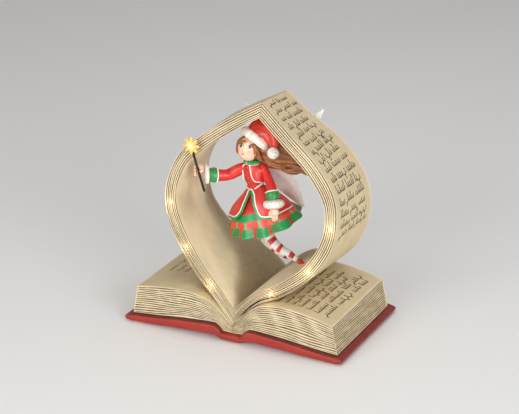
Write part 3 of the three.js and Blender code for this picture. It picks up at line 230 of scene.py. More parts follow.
@dataclass
class Shape:
    """A closed mesh in millimetres, with a number or a colour at each of its points."""

    points: Array
    faces: list[Array]
    values: dict[str, Array] = field(default_factory=dict)

    @staticmethod
    def sheet(points: Array, values: dict[str, Array], wrap: tuple[bool, bool]) -> "Shape":
        """A grid of points joined by quads.

        Args:
            points: rows by columns by 3.
            values: a paint over the grid, and numbers over it, or one of either for all of it.
            wrap: True where the rows, or the columns, close on themselves.

        Returns:
            The shape, open where it doesn't wrap.
        """
        rows, columns = points.shape[:2]
        i = np.arange(rows if wrap[0] else rows - 1)[:, None]
        j = np.arange(columns if wrap[1] else columns - 1)[None, :]
        up, on = (i + 1) % rows, (j + 1) % columns
        corners = [i * columns + j, i * columns + on, up * columns + on, up * columns + j]
        quads = np.stack(np.broadcast_arrays(*corners), -1).reshape(-1, 4)
        flat = {}
        for key, value in values.items():
            tail = (3,) if key == "paint" else ()
            value = value.linear if isinstance(value, Hue) else value
            flat[key] = np.broadcast_to(value, (rows, columns) + tail).reshape((-1,) + tail)
        return Shape(points.reshape(-1, 3), [quads], flat)

    @staticmethod
    def tube(points: Array, values: dict[str, Array]) -> "Shape":
        """A grid whose columns close on themselves, with a fan over its first and last row."""
        rows, columns = points.shape[:2]
        made = Shape.sheet(points, values, (False, True))
        j = np.arange(columns)
        on, last, size = np.roll(j, -1), (rows - 1) * columns, rows * columns
        fans = [np.stack([on, j, np.full(columns, size)], -1),
                np.stack([last + j, last + on, np.full(columns, size + 1)], -1)]
        ends = np.stack([points[0].mean(0), points[-1].mean(0)])
        for name, value in made.values.items():
            grid = value.reshape((rows, columns) + value.shape[1:])
            extra = np.stack([grid[0].mean(0), grid[-1].mean(0)])
            made.values[name] = np.concatenate([value, extra])
        return Shape(np.vstack([made.points, ends]), made.faces + fans, made.values)

    @staticmethod
    def join(shapes: Sequence["Shape"], weld: bool = False) -> "Shape":
        """Several shapes as one.

        Args:
            shapes: shapes with the same values.
            weld: True merges the points that coincide, as where sheets meet at an edge.

        Returns:
            One shape.
        """
        start = np.cumsum([0] + [len(s.points) for s in shapes])
        points = np.vstack([s.points for s in shapes])
        faces = [f + start[i] for i, s in enumerate(shapes) for f in s.faces]
        values = {k: np.concatenate([s.values[k] for s in shapes]) for k in shapes[0].values}
        if weld:
            _, first, back = np.unique(
                np.round(points, 3), axis=0, return_index=True, return_inverse=True)
            points = points[first]
            values = {k: v[first] for k, v in values.items()}
            faces = [back.reshape(-1)[f] for f in faces]
            faces = [f[np.all(f != np.roll(f, -1, axis=1), axis=1)] for f in faces]
        return Shape(points, faces, values)


def placed(name: str, data: Any) -> bpy.types.Object:
    """A new object of the scene that holds the data."""
    made = bpy.data.objects.new(name, data)
    bpy.context.scene.collection.objects.link(made)
    return made


def build(
    name: str,
    shape: Shape,
    finish: bpy.types.Material,
    stands_for: Sequence[str] = (),
    crease: Optional[float] = None,
    body: str = ORNAMENT,
) -> bpy.types.Object:
    """Make a finished piece that rides on a body of the frame.

    Args:
        name: the piece's name.
        shape: its mesh in millimetres.
        finish: its material.
        stands_for: CAD nodes that it replaces.
        crease: angle in degrees past which an edge stays sharp; None shades all smooth.
        body: the CAD body that it rides on.

    Returns:
        The object, at the origin with its place in its mesh.
    """
    mesh = bpy.data.meshes.new(name)
    loops = np.concatenate([f.ravel() for f in shape.faces]).astype(np.int32)
    sizes = np.concatenate([np.full(len(f), f.shape[1]) for f in shape.faces])
    mesh.vertices.add(len(shape.points))
    mesh.vertices.foreach_set("co", (shape.points * MM).astype(np.float32).ravel())
    mesh.loops.add(len(loops))
    mesh.loops.foreach_set("vertex_index", loops)
    mesh.polygons.add(len(sizes))
    starts = np.concatenate([[0], np.cumsum(sizes)[:-1]]).astype(np.int32)
    mesh.polygons.foreach_set("loop_start", starts)
    mesh.update(calc_edges=True)
    for key, value in shape.values.items():
        kind, entry = ("FLOAT_COLOR", "color") if value.ndim == 2 else ("FLOAT", "value")
        if value.ndim == 2:
            value = np.column_stack([value, np.ones(len(value))])
        layer = mesh.attributes.new(key, kind, "POINT")
        layer.data.foreach_set(entry, value.astype(np.float32).ravel())
    work = bmesh.new()
    work.from_mesh(mesh)
    bmesh.ops.remove_doubles(work, verts=work.verts, dist=1e-7)
    bmesh.ops.recalc_face_normals(work, faces=work.faces)
    work.to_mesh(mesh)
    work.free()
    mesh.polygons.foreach_set("use_smooth", np.ones(len(mesh.polygons), bool))
    if crease is not None:
        mesh.set_sharp_from_angle(angle=np.radians(crease))
    mesh.materials.append(finish)
    piece = placed(name, mesh)
    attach(piece, body)
    if stands_for:
        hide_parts(*stands_for)
    LOG.info("%s: %d faces", name, len(mesh.polygons))
    return piece


class Nodes:
    """A material's node tree, built one node at a time."""

    def __init__(self, name: str) -> None:
        """Start a material with its Principled shader and object coordinates."""
        self.material = bpy.data.materials.new(name)
        self.material.use_nodes = True
        self.tree = self.material.node_tree
        self.shader = self.tree.nodes["Principled BSDF"]
        self.place = self.add("ShaderNodeTexCoord").outputs["Object"]

    def add(self, kind: str, inputs: Optional[dict[Any, Any]] = None, **settings: Any) -> Any:
        """Add a node.

        Args:
            kind: the node's type.
            inputs: input name or index to a value, or to the socket that feeds it.
            settings: the node's own properties.

        Returns:
            The node.
        """
        node = self.tree.nodes.new(kind)
        for key, value in settings.items():
            setattr(node, key, value)
        for key, value in (inputs or {}).items():
            if isinstance(value, bpy.types.NodeSocket):
                self.tree.links.new(value, node.inputs[key])
            else:
                node.inputs[key].default_value = value
        return node

    def feed(self, name: str, value: Any) -> None:
        """Set or feed one of the shader's inputs."""
        if isinstance(value, bpy.types.NodeSocket):
            self.tree.links.new(value, self.shader.inputs[name])
        else:
            self.shader.inputs[name].default_value = value

    def kept(self, name: str) -> Any:
        """An attribute of the piece: its paint as a colour, or another as a number."""
        node = self.add("ShaderNodeAttribute", attribute_name=name)
        return node.outputs["Color" if name == "paint" else "Fac"]

    def shaded(self, colour: Any, shade: Any) -> Any:
        """A colour times a number."""
        grey = self.add("ShaderNodeCombineColor", {0: shade, 1: shade, 2: shade}).outputs[0]
        return self.mix(1.0, colour, grey, "MULTIPLY")

    def rough(self, grain: Any, low: float, high: float, least: float, most: float) -> None:
        """Feed the roughness from a grain's range, spread from the least to the most."""
        self.feed("Roughness", self.span(grain, low, high, least, most))

    def noise(self, scale: float, detail: float = 3.0, rough: float = 0.5) -> Any:
        """Noise over the piece, in waves per metre, as a number from 0 to 1."""
        inputs = {"Vector": self.place, "Scale": scale, "Detail": detail, "Roughness": rough}
        return self.add("ShaderNodeTexNoise", inputs).outputs["Fac"]

    def span(self, value: Any, low: float, high: float, to_low: float, to_high: float) -> Any:
        """A number's range from low to high, spread to another range and clamped."""
        inputs = {0: value, 1: low, 2: high, 3: to_low, 4: to_high}
        return self.add("ShaderNodeMapRange", inputs).outputs[0]

    def math(self, how: str, first: Any, second: Any) -> Any:
        """Two numbers joined by a sum, such as ADD or MULTIPLY."""
        return self.add("ShaderNodeMath", {0: first, 1: second}, operation=how).outputs[0]

    def mix(self, share: Any, first: Any, second: Any, how: str = "MIX") -> Any:
        """Two colours mixed by a share."""
        inputs = {0: share, 6: first, 7: second}
        node = self.add("ShaderNodeMix", inputs, data_type="RGBA", blend_type=how)
        return node.outputs[2]

    def bump(self, height: Any, depth_mm: float, under: Optional[Any] = None) -> Any:
        """A bump of the given depth, over another bump if there is one."""
        inputs = {"Height": height, "Distance": depth_mm * MM, "Strength": 1.0}
        if under is not None:
            inputs["Normal"] = under
        return self.add("ShaderNodeBump", inputs).outputs["Normal"]


def rgba(colour: Array) -> tuple[float, ...]:
    """A linear colour with full alpha."""
    return (*map(float, colour), 1.0)


@dataclass(frozen=True)
class CastPaint:
    """Brushed paint over cast resin: its colour is in the piece's own paint attribute.

    The wash attribute lays a dark thin coat, partly a paint wash and partly painted shade;
    blotches vary the colour, and a fine grain breaks the gloss.
    """

    name: str
    wash: Hue = Hue.AGE
    blotch: float = 0.07
    blotch_scale: float = 90.0
    grain_scale: float = 2200.0
    grain_mm: float = 0.05
    brush_mm: float = 0.0
    roughness: float = 0.5
    coat: float = 0.0
    speckle: float = 0.0

    def material(self) -> bpy.types.Material:
        """Build the material."""
        nodes = Nodes(self.name)
        dark = rgba(self.wash.linear)
        blotches = nodes.noise(self.blotch_scale, 4.0, 0.6)
        shade = nodes.span(blotches, 0.3, 0.7, 1 - self.blotch, 1 + self.blotch)
        colour = nodes.shaded(nodes.kept("paint"), shade)
        uneven = nodes.span(nodes.noise(450.0), 0.25, 0.75, 0.7, 1.15)
        # Darken by the wash attribute: a paint wash in places, painted shade in others.
        colour = nodes.mix(nodes.math("MULTIPLY", nodes.kept("wash"), uneven), colour, dark)
        if self.speckle:
            dots = nodes.span(nodes.noise(1500.0, 2.0, 0.7), 0.60, 0.72, 0.0, self.speckle)
            colour = nodes.mix(dots, colour, dark)
        nodes.feed("Base Color", colour)
        nodes.rough(nodes.noise(300.0), 0.2, 0.8, self.roughness - 0.07, self.roughness + 0.09)
        bump = nodes.bump(nodes.noise(self.grain_scale, 4.0, 0.6), self.grain_mm)
        if self.brush_mm:
            bump = nodes.bump(nodes.noise(260.0, 2.0), self.brush_mm, bump)
        nodes.feed("Normal", bump)
        nodes.feed("Coat Weight", self.coat)
        nodes.feed("Coat Roughness", 0.22)
        return nodes.material


@dataclass(frozen=True)
class Fur:
    """Stippled white paint that stands for fur: rounded tufts, with painted grey shade in the
    hollows between them.
    """

    def material(self) -> bpy.types.Material:
        """Build the material."""
        nodes = Nodes("stippled_fur")
        inputs = {"Vector": nodes.place, "Scale": 1500.0, "Randomness": 1.0}
        tufts = nodes.add("ShaderNodeTexVoronoi", inputs, feature="SMOOTH_F1").outputs["Distance"]
        hollow_shade = nodes.span(tufts, 0.4, 0.8, 0.0, 0.4)
        shade = nodes.math("ADD", nodes.math("MULTIPLY", nodes.kept("wash"), 0.55), hollow_shade)
        white, grey = rgba(Hue.FUR.linear), rgba(Hue.FUR_DARK.linear)
        nodes.feed("Base Color", nodes.mix(shade, white, grey))
        nodes.rough(nodes.noise(900.0), 0.3, 0.7, 0.7, 0.9)
        height = nodes.math("SUBTRACT", nodes.noise(2600.0, 4.0, 0.7), tufts)
        nodes.feed("Normal", nodes.bump(height, 0.16))
        return nodes.material


@dataclass(frozen=True)
class Moulded:
    """Plastic, rubber or metal straight from a mould or a press, in one colour."""

    name: str
    colour: tuple[float, float, float]
    roughness: float = 0.5
    metal: float = 0.0
    grain_scale: float = 2600.0
    grain_mm: float = 0.03
    stretch: tuple[float, float, float] = (1.0, 1.0, 1.0)

    def material(self) -> bpy.types.Material:
        """Build the material."""
        nodes = Nodes(self.name)
        base = np.array(self.colour)
        inputs = {"Vector": nodes.place, "Scale": self.stretch}
        place = nodes.add("ShaderNodeMapping", inputs).outputs[0]
        grain = nodes.add("ShaderNodeTexNoise", {
            "Vector": place, "Scale": self.grain_scale, "Detail": 3.0}).outputs["Fac"]
        worn = nodes.span(nodes.noise(120.0, 4.0), 0.35, 0.75, 0.0, 0.16)
        nodes.feed("Base Color", nodes.mix(worn, rgba(base), rgba(base * 0.6 + 0.12)))
        nodes.rough(grain, 0.25, 0.75, self.roughness - 0.08, self.roughness + 0.1)
        nodes.feed("Metallic", self.metal)
        nodes.feed("Normal", nodes.bump(grain, self.grain_mm))
        return nodes.material


@dataclass(frozen=True)
class WarmLight:
    """A lit warm-white lens, or a bright gold paint that glows as painted light with no lamp in
    it: its glow is in the glow attribute.
    """

    name: str
    strength: float
    roughness: float = 0.2

    def material(self) -> bpy.types.Material:
        """Build the material."""
        nodes = Nodes(self.name)
        uneven = nodes.span(nodes.noise(700.0), 0.3, 0.7, 0.9, 1.05)
        colour = nodes.shaded(nodes.kept("paint"), uneven)
        nodes.feed("Base Color", colour)
        nodes.feed("Emission Color", colour)
        glow = nodes.math("MULTIPLY", nodes.kept("glow"), self.strength)
        nodes.feed("Emission Strength", glow)
        nodes.rough(nodes.noise(500.0), 0.3, 0.7, self.roughness - 0.05, self.roughness + 0.08)
        nodes.feed("Coat Weight", 0.4)
        return nodes.material


class Finishes:
    """Each finish of the ornament, made once."""

    def __init__(self) -> None:
        """Build all the materials."""
        self.pages = CastPaint("aged_pages", blotch=0.06, roughness=0.62, grain_mm=0.07,
                               brush_mm=0.12, speckle=0.10).material()
        self.cover = CastPaint("brick_cover", wash=Hue.BRICK_DARK, blotch=0.13, roughness=0.5,
                               grain_mm=0.1, brush_mm=0.2, speckle=0.12).material()
        self.ink = CastPaint("brown_ink", wash=Hue.INK, blotch=0.2, roughness=0.55,
                             grain_mm=0.02).material()
        self.dress = CastPaint("red_dress", wash=Hue.RED_DARK, blotch=0.08, blotch_scale=160.0,
                               roughness=0.36, grain_mm=0.02, brush_mm=0.1, coat=0.25).material()
        self.skin = CastPaint("doll_skin", wash=Hue.BLUSH, blotch=0.02, roughness=0.42,
                              grain_mm=0.008, coat=0.1).material()
        self.hair = CastPaint("brown_hair", wash=Hue.HAIR_DARK, blotch=0.12, blotch_scale=260.0,
                              roughness=0.42, grain_mm=0.03, coat=0.12).material()
        self.fur = Fur().material()
        self.wing = CastPaint("pearl_wing", wash=Hue.WING_SHADE, blotch=0.03, roughness=0.27,
                              grain_mm=0.01, brush_mm=0.06, coat=0.5).material()
        self.wand = CastPaint("black_wand", wash=Hue.BLACK, blotch=0.2, roughness=0.38,
                              grain_mm=0.02, coat=0.2).material()
        # The star holds no lamp: its glow is painted light.
        self.star = WarmLight("gold_star", 0.14, 0.3).material()
        self.lens = WarmLight("warm_lens", 2.4).material()
        self.case = Moulded("moulded_case", (0.020, 0.020, 0.022), 0.55).material()
        self.rubber = Moulded("soft_foot", (0.018, 0.018, 0.018), 0.85, grain_mm=0.06).material()
        self.sleeve = Moulded("cell_sleeve", (0.07, 0.15, 0.27), 0.32).material()
        self.contact = Moulded("plated_contact", (0.62, 0.62, 0.60), 0.28, metal=1.0,
                               stretch=(1.0, 0.08, 1.0)).material()
        self.board = Moulded("lacquered_board", (0.022, 0.13, 0.05), 0.35).material()
        self.lead = Moulded("lead_sleeve", (0.48, 0.44, 0.34), 0.4).material()
        self.knob = Moulded("switch_tip", (0.32, 0.32, 0.33), 0.4).material()


# Book


@dataclass(frozen=True)
class Book:
    """Sizes shared by the cover, the page blocks and the curled bands."""

    gap: float = 0.3
    cover_half: float = 110.0
    cover_depth: float = 126.0
    cover_rise: float = 13.4
    cover_lift: float = 0.8
    page_margin: float = 6.2
    block_half: float = 98.2
    block_splay: float = 5.2
    block_top: float = 42.0
    loop_half: float = 87.2
    valley: float = 15.0
    rise: float = 192.6
    band: float = 11.3
    valley_band: float = 9.4
    lean: float = 0.322
    leaf: float = 1.2
    parting: float = 1.5
    fan: float = 0.35
    leaf_span: float = 9 / 22

    @property
    def front(self) -> float:
        """Front page edges at the foot of the book."""
        return -self.cover_depth / 2 + self.page_margin

    @property
    def back(self) -> float:
        """Back page edges."""
        return self.cover_depth / 2 - self.page_margin

    def front_edge(self, height: Array) -> Array:
        """The leaning front edge of the loop at a height: it goes back by lean per unit up."""
        return self.front + self.lean * (height - self.valley)


COVER_SHARES = np.array([
    [0, 0.47, 0.02], [0.09, 0.5, 0.04], [0.118, 0.8, 0.16], [0.155, 1, 0.27], [0.227, 1, 0.29],
    [0.464, 0.86, 0.2], [0.745, 0.6, 0.07], [0.985, 0.44, 0], [1, 0.36, 0.08]])
TOP_SHARES = {
    1: np.array([[0, 0], [0.08, 0.37], [0.18, 0.68], [0.28, 0.9], [0.38, 0.97], [0.5, 1],
                 [0.62, 0.98], [0.82, 0.85], [1, 0.68]]),
    -1: np.array([[0, 0], [0.08, 0.27], [0.18, 0.56], [0.28, 0.76], [0.38, 0.87], [0.5, 0.92],
                  [0.62, 0.91], [0.82, 0.84], [1, 0.74]]),
}
BAND_SHARES = {
    (1, "front"): [[0, 1], [0.36, 0.878], [0.715, 0.755], [0.94, 0.63], [1, 0.503], [0.96, 0.399],
                   [0.79, 0.272], [0.49, 0.165], [0.274, 0.121], [0.126, 0.066], [0, 0]],
    (1, "back"): [[0, 0.982], [0.321, 0.873], [0.665, 0.77], [0.914, 0.62], [0.976, 0.493],
                  [0.947, 0.382], [0.814, 0.252], [0.596, 0.158], [0.344, 0.135], [0.138, 0.071],
                  [0, 0]],
    (-1, "front"): [[0, 1], [0.336, 0.911], [0.652, 0.808], [0.872, 0.713], [0.975, 0.578],
                    [0.95, 0.475], [0.812, 0.357], [0.51, 0.202], [0.241, 0.1], [0, 0]],
    (-1, "back"): [[0, 0.982], [0.356, 0.899], [0.688, 0.806], [0.929, 0.705], [1.06, 0.583],
                   [1.072, 0.475], [1.009, 0.348], [0.711, 0.198], [0.31, 0.122], [0, 0]],
}
SIDE_NAMES = {1: "right", -1: "left"}
BOOK = Book()


def page_edge(side: int, edge: str) -> Spline:
    """The outer sheet's front or back edge on one side, from the top of the loop to its foot."""
    return Spline([[side * x * BOOK.loop_half, 0, BOOK.valley + z * BOOK.rise]
                   for x, z in BAND_SHARES[side, edge]])


def cover_top(x: Array) -> Array:
    """Height of the cover's upper face at a distance from the spine."""
    shares = np.interp(np.abs(x) / BOOK.cover_half, COVER_SHARES[:, 0], COVER_SHARES[:, 1])
    return BOOK.cover_lift + BOOK.cover_rise * shares


class Pile:
    """A pile of sheets: a point for shares along the sheets, down through the pile and across
    them from front to back. Its edges carry the grooves between the sheets.
    """

    sheets: int = 9
    groove_mm: float = 0.7
    seed: int = 1
    grooved_end: bool = False
    stray: float = 0.16
    waves: float = 0.8
    rim_mm: float = 1.1

    def at(self, along: Array, through: Array, across: Array) -> Array:
        """The point at three shares."""
        raise NotImplementedError

    def groove(self, along: Array, through: Array, seed: int, stray: float) -> Array:
        """Depth of the groove on an edge, 0 to 1.

        A raised cosine is deepest between two sheets. Its phase wanders along the sheets, so
        that lines draw together and part, and some are shallower than others.

        Args:
            along: place along the edge.
            through: share through the pile.
            seed: picks the wander.
            stray: how far a line wanders, in sheets.

        Returns:
            The depth, 0 at the first and last sheet.
        """
        ends = both_ends(through, 0.03)
        drift = stray * wander(seed, along * self.waves, through * 1.3, octaves=2) * ends
        phase = 0.5 + through * self.sheets + drift
        line = (0.5 + 0.5 * np.cos(2 * np.pi * phase)) ** 1.3
        pressed = 0.82 + 0.28 * wander(seed + 7, along * 1.6, np.round(phase) * 0.37, octaves=2)
        return line * np.clip(pressed, 0.2, 1) * ends

    def ledge(self, along: Array, through: Array, seed: int) -> Array:
        """How far single sheets stand back from the edge, in millimetres."""
        sheet = np.floor(through * self.sheets + 0.5)
        uneven = 1 + wander(seed + 3, sheet * 0.61, along * 1.3, octaves=2)
        return 0.2 * uneven * both_ends(through, 0.05)

    def paint(self, rim: Array, brown: Array) -> Array:
        """Cream paper, paler along its rim and browner by the brown share."""
        paper = coat(Hue.CREAM, Hue.TAN, np.clip(brown, 0, 1))
        return coat(paper, Hue.PALE, np.clip(rim, 0, 1))

    def face_tone(self, along: Array, across: Array, lower: bool) -> tuple[Array, Array]:
        """Tan and wash shares over the first or the last sheet. Below zero it is paler."""
        raise NotImplementedError

    def shape(self, n_along: int, n_through: int, n_across: int) -> Shape:
        """The pile as six welded sheets of points.

        Args:
            n_along: points along the sheets.
            n_through: points through the pile.
            n_across: points across the sheets.

        Returns:
            The closed shape with its paint and wash.
        """
        u, w, even = (np.linspace(0, 1, count) for count in (n_along, n_through, n_across))
        d = 0.35 * (0.5 - 0.5 * np.cos(np.pi * even)) + 0.65 * even
        width = float(np.linalg.norm(self.at(0.5, 0.5, 1.0) - self.at(0.5, 0.5, 0.0)))
        length = float(np.linalg.norm(self.at(1.0, 0.5, 0.5) - self.at(0.9, 0.5, 0.5))) * 10
        sheets = []

        def add(points: Array, rim: Array, tan: Array, wash: Array) -> None:
            """Keep one of the six sides."""
            values = {"paint": self.paint(rim, tan), "wash": wash}
            sheets.append(Shape.sheet(points, values, (False, False)))

        uu, dd = np.meshgrid(u, d, indexing="ij")
        rim = np.exp(-np.minimum(dd, 1 - dd) * width / self.rim_mm)
        if self.grooved_end:
            rim = np.maximum(rim, np.exp(-(1 - uu) * length / self.rim_mm))
        for through in (0.0, 1.0):
            tan, wash = self.face_tone(uu, dd, through > 0.5)
            # A tone below zero paints the sheet paler, which on the inner curl is painted light.
            add(self.at(uu, through, dd), np.maximum(0.8 * rim, -tan), tan, wash * (1 - rim))
        uu, ww = np.meshgrid(u, w, indexing="ij")
        for across in (0.0, 1.0):
            seed = self.seed + (50 if across else 0)
            depth = self.groove(uu * 3, ww, seed, self.stray)
            if self.grooved_end:
                depth = depth * ease(1 - uu, 0, 0.006)
            back = self.groove_mm * depth + self.ledge(uu, ww, seed) * ease(1 - uu, 0, 0.02)
            dd = back / width if across == 0 else 1 - back / width
            age = 0.16 + 0.14 * wander(seed + 11, uu * 5, ww * 2)
            rim = 0.9 * (1 - depth) ** 2
            add(self.at(uu, ww, dd), rim, 0.5, np.clip(1.1 * depth + age * (1 - rim), 0, 1))
        ww, dd = np.meshgrid(w, d, indexing="ij")
        near = np.minimum(dd, 1 - dd)
        for along in (0.0, 1.0):
            depth, uu = np.zeros_like(ww), np.full_like(ww, along)
            if self.grooved_end and along:
                seed = self.seed + 90
                depth = self.groove(dd * 2, ww, seed, 0.12) * ease(near, 0, 0.008)
                back = self.groove_mm * depth + self.ledge(dd, ww, seed) * ease(near, 0, 0.02)
                uu = 1 - back / length
            rim = 0.75 * (1 - depth) ** 2
            add(self.at(uu, ww, dd), rim, 0.6, np.clip(1.1 * depth + 0.26, 0, 1))
        return Shape.join(sheets, weld=True)


@dataclass
class PageBlock(Pile):
    """The pages that lie open on one side: their top sheet swells from the gutter."""

    side: int = 1
    sheets: int = 13
    groove_mm: float = 0.75
    seed: int = 21
    grooved_end: bool = True
    stray: float = 0.45
    waves: float = 0.4
    under_band: float = 60.0

    def __post_init__(self) -> None:
        """Find the underside of the band over the block, which its top sheet stays below."""
        self.limits = {}
        for edge in ("front", "back"):
            fine = page_edge(self.side, edge).at(np.linspace(0.72, 1, 160))[::-1]
            self.limits[edge] = (np.abs(fine[:, 0]), fine[:, 2])
        table = TOP_SHARES[self.side]
        self.swell = Spline(np.column_stack([table, 0 * table[:, 0]])).at(np.linspace(0, 1, 400))

    def at(self, along: Array, through: Array, across: Array) -> Array:
        """The point at three shares: heights run evenly from the top sheet to the cover."""
        along, through, across = together(along, through, across)
        gutter = BOOK.valley - 2 * BOOK.gap
        x = BOOK.gap / 2 + along * (BOOK.block_half - BOOK.gap / 2)
        x = x + BOOK.block_splay * through * ease(along, 0.86, 1.0)
        swell = np.interp(along, self.swell[:, 0], self.swell[:, 1])
        top = gutter + (BOOK.block_top - gutter) * swell
        reach = np.minimum(x, self.under_band)
        low = np.interp(reach, *self.limits["front"]) * (1 - across)
        low = low + np.interp(reach, *self.limits["back"]) * across
        top = np.where(x < self.under_band, np.minimum(top, low - 2 * BOOK.gap), top)
        bottom = cover_top(x) + BOOK.gap
        z = top + (bottom - top) * through
        y = BOOK.front + (BOOK.back - BOOK.front) * across
        return np.stack([self.side * x, y, z], -1)

    def face_tone(self, along: Array, across: Array, lower: bool) -> tuple[Array, Array]:
        """Painted brown shade under the band, fading to bare paper towards the fore edge."""
        near = ease(0.62 - along, 0, 0.5)
        uneven = 0.12 * wander(self.seed + 31, along * 3, across * 3)
        return 0.15 + 0.5 * near + uneven, np.clip(0.30 * near + 0.5 * uneven, 0, 1)


@dataclass
class PageBand(Pile):
    """Sheets curled up on one side into half of the loop, mitred at its top and foot."""

    side: int = 1
    sheets: int = 6
    groove_mm: float = 0.95
    seed: int = 5
    leaf_only: bool = False

    def __post_init__(self) -> None:
        """Lay out the outer sheet at the front and at the back."""
        self.curves = {edge: page_edge(self.side, edge) for edge in ("front", "back")}

    def leaf_depth(self, share: Array) -> Array:
        """Thickness of the loose sheet, which is worn thin where it starts."""
        along = (share - 1 + BOOK.leaf_span) / BOOK.leaf_span
        return BOOK.leaf * np.clip(0.3 + 4 * along, 0.3, 1)

    def leaf_room(self, share: Array) -> Array:
        """Room that the band leaves on its outside for the loose sheet."""
        along = (share - 1 + BOOK.leaf_span) / BOOK.leaf_span
        room = self.leaf_depth(share) + BOOK.gap
        room = room + BOOK.parting * np.sin(np.pi * np.clip(along, 0, 1)) ** 2
        return np.where(along > -1e-6, room, 0.0)

    def thickness(self, share: Array) -> Array:
        """The band's thickness, thinner where it is pressed at the spine."""
        return BOOK.band + (BOOK.valley_band - BOOK.band) * ease(share, 0.6, 1)

    def inside(self, edge: str, share: Array, inward: Array) -> Array:
        """A point of the edge's curve moved inward, slid along where it would pass the middle."""
        curve = self.curves[edge]
        point, way = curve.at(share), curve.way(share)
        normal = np.stack([way[..., 2], 0 * way[..., 0], -way[..., 0]], -1) * self.side
        nearest = BOOK.gap / 2 + BOOK.fan * np.abs(point[..., 0])
        moved = point + normal * inward[..., None]
        lack = np.maximum(nearest - self.side * moved[..., 0], 0) * self.side
        slope, least = way[..., 0], 0.05
        slope = np.where(np.abs(slope) < least, least * np.sign(slope + 1e-9), slope)
        return moved + way * (lack / slope)[..., None]

    def at(self, along: Array, through: Array, across: Array) -> Array:
        """The point at three shares: a straight line from the front edge to the back one."""
        along, through, across = together(along, through, across)
        if self.leaf_only:
            share = 1 - BOOK.leaf_span * (1 - along)
            inward = self.leaf_depth(share) * through
        else:
            share = along
            room = self.leaf_room(share)
            inward = room + (self.thickness(share) - room) * through
        near = self.inside("front", share, inward)
        far = self.inside("back", share, inward)
        near[..., 1] = BOOK.front_edge(near[..., 2])
        far[..., 1] = BOOK.back
        return near + (far - near) * across[..., None]

    def face_tone(self, along: Array, across: Array, lower: bool) -> tuple[Array, Array]:
        """Outer pages stay cream. Inner ones are paler at the front, as painted light, with
        painted shade behind it towards the valley and a painted shadow of the wand hand.
        """
        uneven = 0.1 * wander(self.seed + 31, along * 4, across * 2.5)
        if not lower:
            foot = ease(along, 0.72, 0.95)
            return 0.12 + 0.3 * foot + uneven, np.clip(0.16 * foot + 0.4 * uneven, 0, 1)
        # Where the painted shade starts across the sheet, at shares along it.
        shore = np.interp(along, [0.55, 0.65, 0.75, 0.83, 0.88, 0.94, 1.0],
                          [0.8, 0.76, 0.72, 0.6, 0.38, 0.09, 0.0])
        painted_shade = ease(across - shore + 0.3 * uneven, -0.1, 0.2) * ease(along, 0.52, 0.64)
        # A painted shadow of the wand hand.
        hand = bell(along, 0.58, 0.07) * bell(across, 0.32, 0.2)
        wash = 0.46 * painted_shade + 0.2 * hand + 0.15 * uneven
        # Below zero the tone paints the sheet paler: there it is painted light.
        return 1.2 * painted_shade + 0.5 * hand + uneven - 0.65, np.clip(wash, 0, 1)


